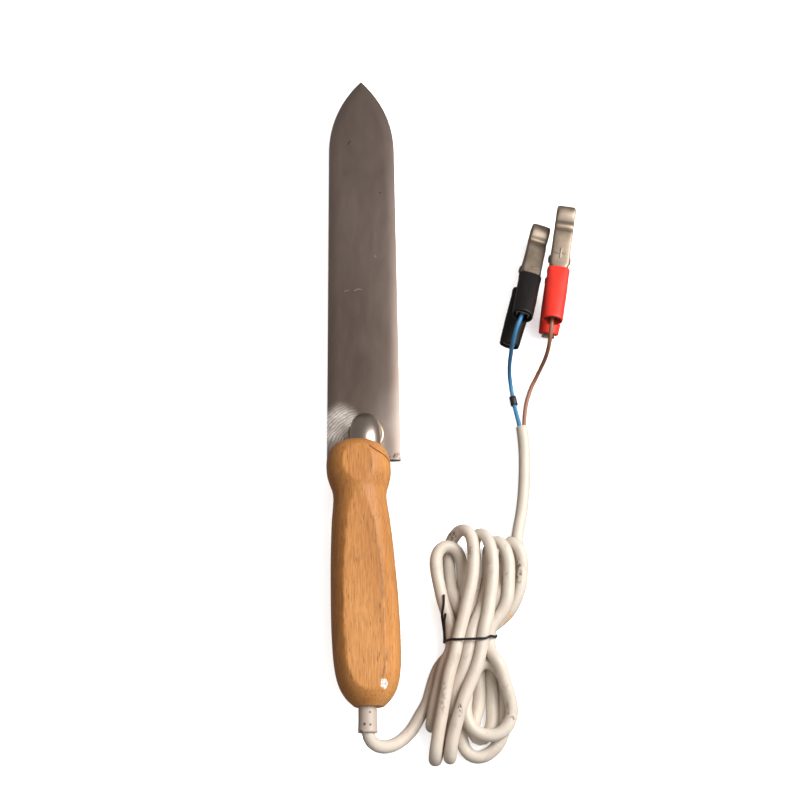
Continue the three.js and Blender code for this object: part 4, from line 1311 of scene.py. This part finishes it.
def along_handle(x, y, z):
    """A point given along the handle's own axis, in the clip's frame."""
    cos, sin = math.cos(HANDLE_ANGLE), math.sin(HANDLE_ANGLE)
    return (x, HANDLE_START_Y + y * cos + z * sin, HANDLE_MID_Z - y * sin + z * cos)


def make_grip(name, slide, seed, short=0.0):
    """A vinyl sleeve pushed over the handle: flat where it meets the jaw, rounder at its mouth."""
    slope = math.cos(HANDLE_ANGLE)
    front = (-0.6 + slide) / slope
    length = (33.4 - short) / slope
    sides = 44
    turns = np.linspace(0.0, 2.0 * math.pi, sides, endpoint=False)
    lip = [(0.0, 0.42), (0.12, 0.2), (0.4, 0.0)]
    body = [(t, 0.0) for t in np.linspace(1.2, length - 1.2, 26)]
    mouth = [(length - 0.4, 0.0), (length - 0.12, 0.2), (length, 0.42)]
    outside = lip + body + mouth
    inside = [(length, 0.75), (length - 0.3, 0.95)] + [(t, 0.95) for t in np.linspace(length - 2.0, 2.0, 12)]
    inside += [(0.3, 0.95), (0.0, 0.75)]
    vertices = []
    for t, inset in outside + inside:
        share = t / length
        half_width = 5.65 + 0.5 * math.sin(math.pi * min(1.0, 0.2 + 0.75 * share)) - 0.25 * share
        half_height = 3.55 + 0.95 * min(1.0, share * 1.5) ** 0.8
        power = 3.2 - 1.1 * min(1.0, share * 2.2)
        squeeze = 1.0 + 0.05 * math.exp(-((share - 0.04) / 0.05) ** 2)
        for angle in turns:
            cos, sin = math.cos(angle), math.sin(angle)
            swell = (abs(cos) ** power + abs(sin) ** power) ** (-1.0 / power)
            dent = 0.14 * noise.noise(Vector((1.5 * cos + seed, 1.5 * sin, 4.5 * share)))
            x = (half_width * squeeze - inset + dent) * swell * cos
            z = (half_height - inset + dent) * swell * sin
            vertices.append(along_handle(x, front - t, z))
    rings = len(outside) + len(inside)
    return new_object(name, vertices, ring_faces(rings, sides, closed=True))


def make_pin(name):
    """The pivot pin, with a low domed head at each end."""
    reach = 0.5 * UPPER_WIDTH + 0.05
    half = [(PIN_RADIUS, 0.0), (PIN_RADIUS, reach)]
    half += [(radius, reach + rise) for radius, rise in PIN_HEAD]
    profile = [(r, -x) for r, x in reversed(half)] + half[1:]
    return turned(name, profile, 28, axis="X", closed=False)


def make_spring(name):
    """Three turns on the pin, with a leg bearing inside each handle."""
    wire, radius, count, pitch, leg = 0.5, 2.5, 3.5, 1.15, 15.0
    rise = math.tan(HANDLE_ANGLE)
    start = -0.5 * pitch * count
    line = [(start, -y, y * rise + radius) for y in np.linspace(leg, 1.0, 12)]
    for turn in np.linspace(0.0, count, int(28 * count)):
        angle = 0.5 * math.pi - 2.0 * math.pi * turn
        line.append((start + pitch * turn, radius * math.cos(angle), radius * math.sin(angle)))
    line += [(start + pitch * count, -y, -y * rise - radius) for y in np.linspace(1.0, leg, 12)]
    return tube(name, evenly(np.array(line), 0.5), wire * 0.97, 10, round_ends=0.4)


def make_clip(colour, grip_finish):
    """One clip's pieces, set in place; gives those near the cord."""
    place = clip_place(colour)
    turned_over = place @ Matrix.Rotation(math.pi, 4, "Y")
    upper = f"{colour}_clip_upper"
    sign = "plus" if colour == "red" else "minus"
    seed = 3.0 if colour == "red" else 8.0
    metal = (NICKEL, "clip_nickel")
    vinyl = (grip_finish, f"{colour}_sleeve_pvc")
    top_lever = make_lever(f"{colour}_clip_top_lever", UPPER_WIDTH, sign)
    bottom_lever = make_lever(f"{colour}_clip_bottom_lever", LOWER_WIDTH, None)
    pin = make_pin(f"{colour}_clip_rivet")
    top_grip = make_grip(f"{colour}_clip_top_grip", 0.0, seed)
    slide, short = CLIPS[colour]["slide"], LOWER_GRIP_SHORT[colour]
    bottom_grip = make_grip(f"{colour}_clip_bottom_grip", seed=seed + 5.0, slide=slide, short=short)
    for piece, turn, look, body, node in (
        (top_lever, place, metal, upper, "upper_lever"),
        (bottom_lever, turned_over, metal, "knife", "lower_lever"),
        (pin, place, metal, "knife", "pivot_pin"),
        (top_grip, place, vinyl, upper, "upper_sleeve"),
        (bottom_grip, turned_over, vinyl, "knife", "lower_sleeve"),
    ):
        piece.data.transform(turn)
        finish_piece(piece, *look, body, f"{colour}_clip_{node}")
    spring = make_spring(f"{colour}_clip_coil_spring")
    spring.data.transform(place)
    finish_piece(spring, SPRING_STEEL, "spring_steel", None, f"{colour}_clip_spring")
    start = place @ Vector(mm((0.0, -2.0, -3.0)))
    end = place @ Vector(mm((0.0, -2.0, 3.0)))
    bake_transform(spring)
    repaint(f"{colour}_clip_wire_crimp", BRASS)
    return [pin, top_grip, bottom_grip, spring, NODES[f"{colour}_clip_wire_crimp"]]


# ---------- what is inside ----------
def paint_inside():
    inside = {
        "blade_end_strip": BLADE_STEEL, "mica_lower_sheet": MICA, "mica_upper_sheet": MICA,
        "heating_foil": FOIL, "element_lead_left": LEAD_SLEEVING, "element_lead_right": LEAD_SLEEVING,
        "crimp_splice_left": BRASS, "crimp_splice_right": BRASS, "inner_core_left": BLUE_PVC,
        "inner_core_right": BROWN_PVC, "cord_clamp": BLACK_PLASTIC,
    }
    for node, finish in inside.items():
        repaint(node, finish)


make_camera()
make_studio()
cord_line = make_cord()
make_tie(cord_line)
make_entry_sleeve()
make_blade_shell()
make_blade_plate()
make_shank()
make_handle()
clip_pieces = {"red": make_clip("red", RED_PVC), "black": make_clip("black", DARK_PVC)}
make_cores(clip_pieces)
paint_inside()
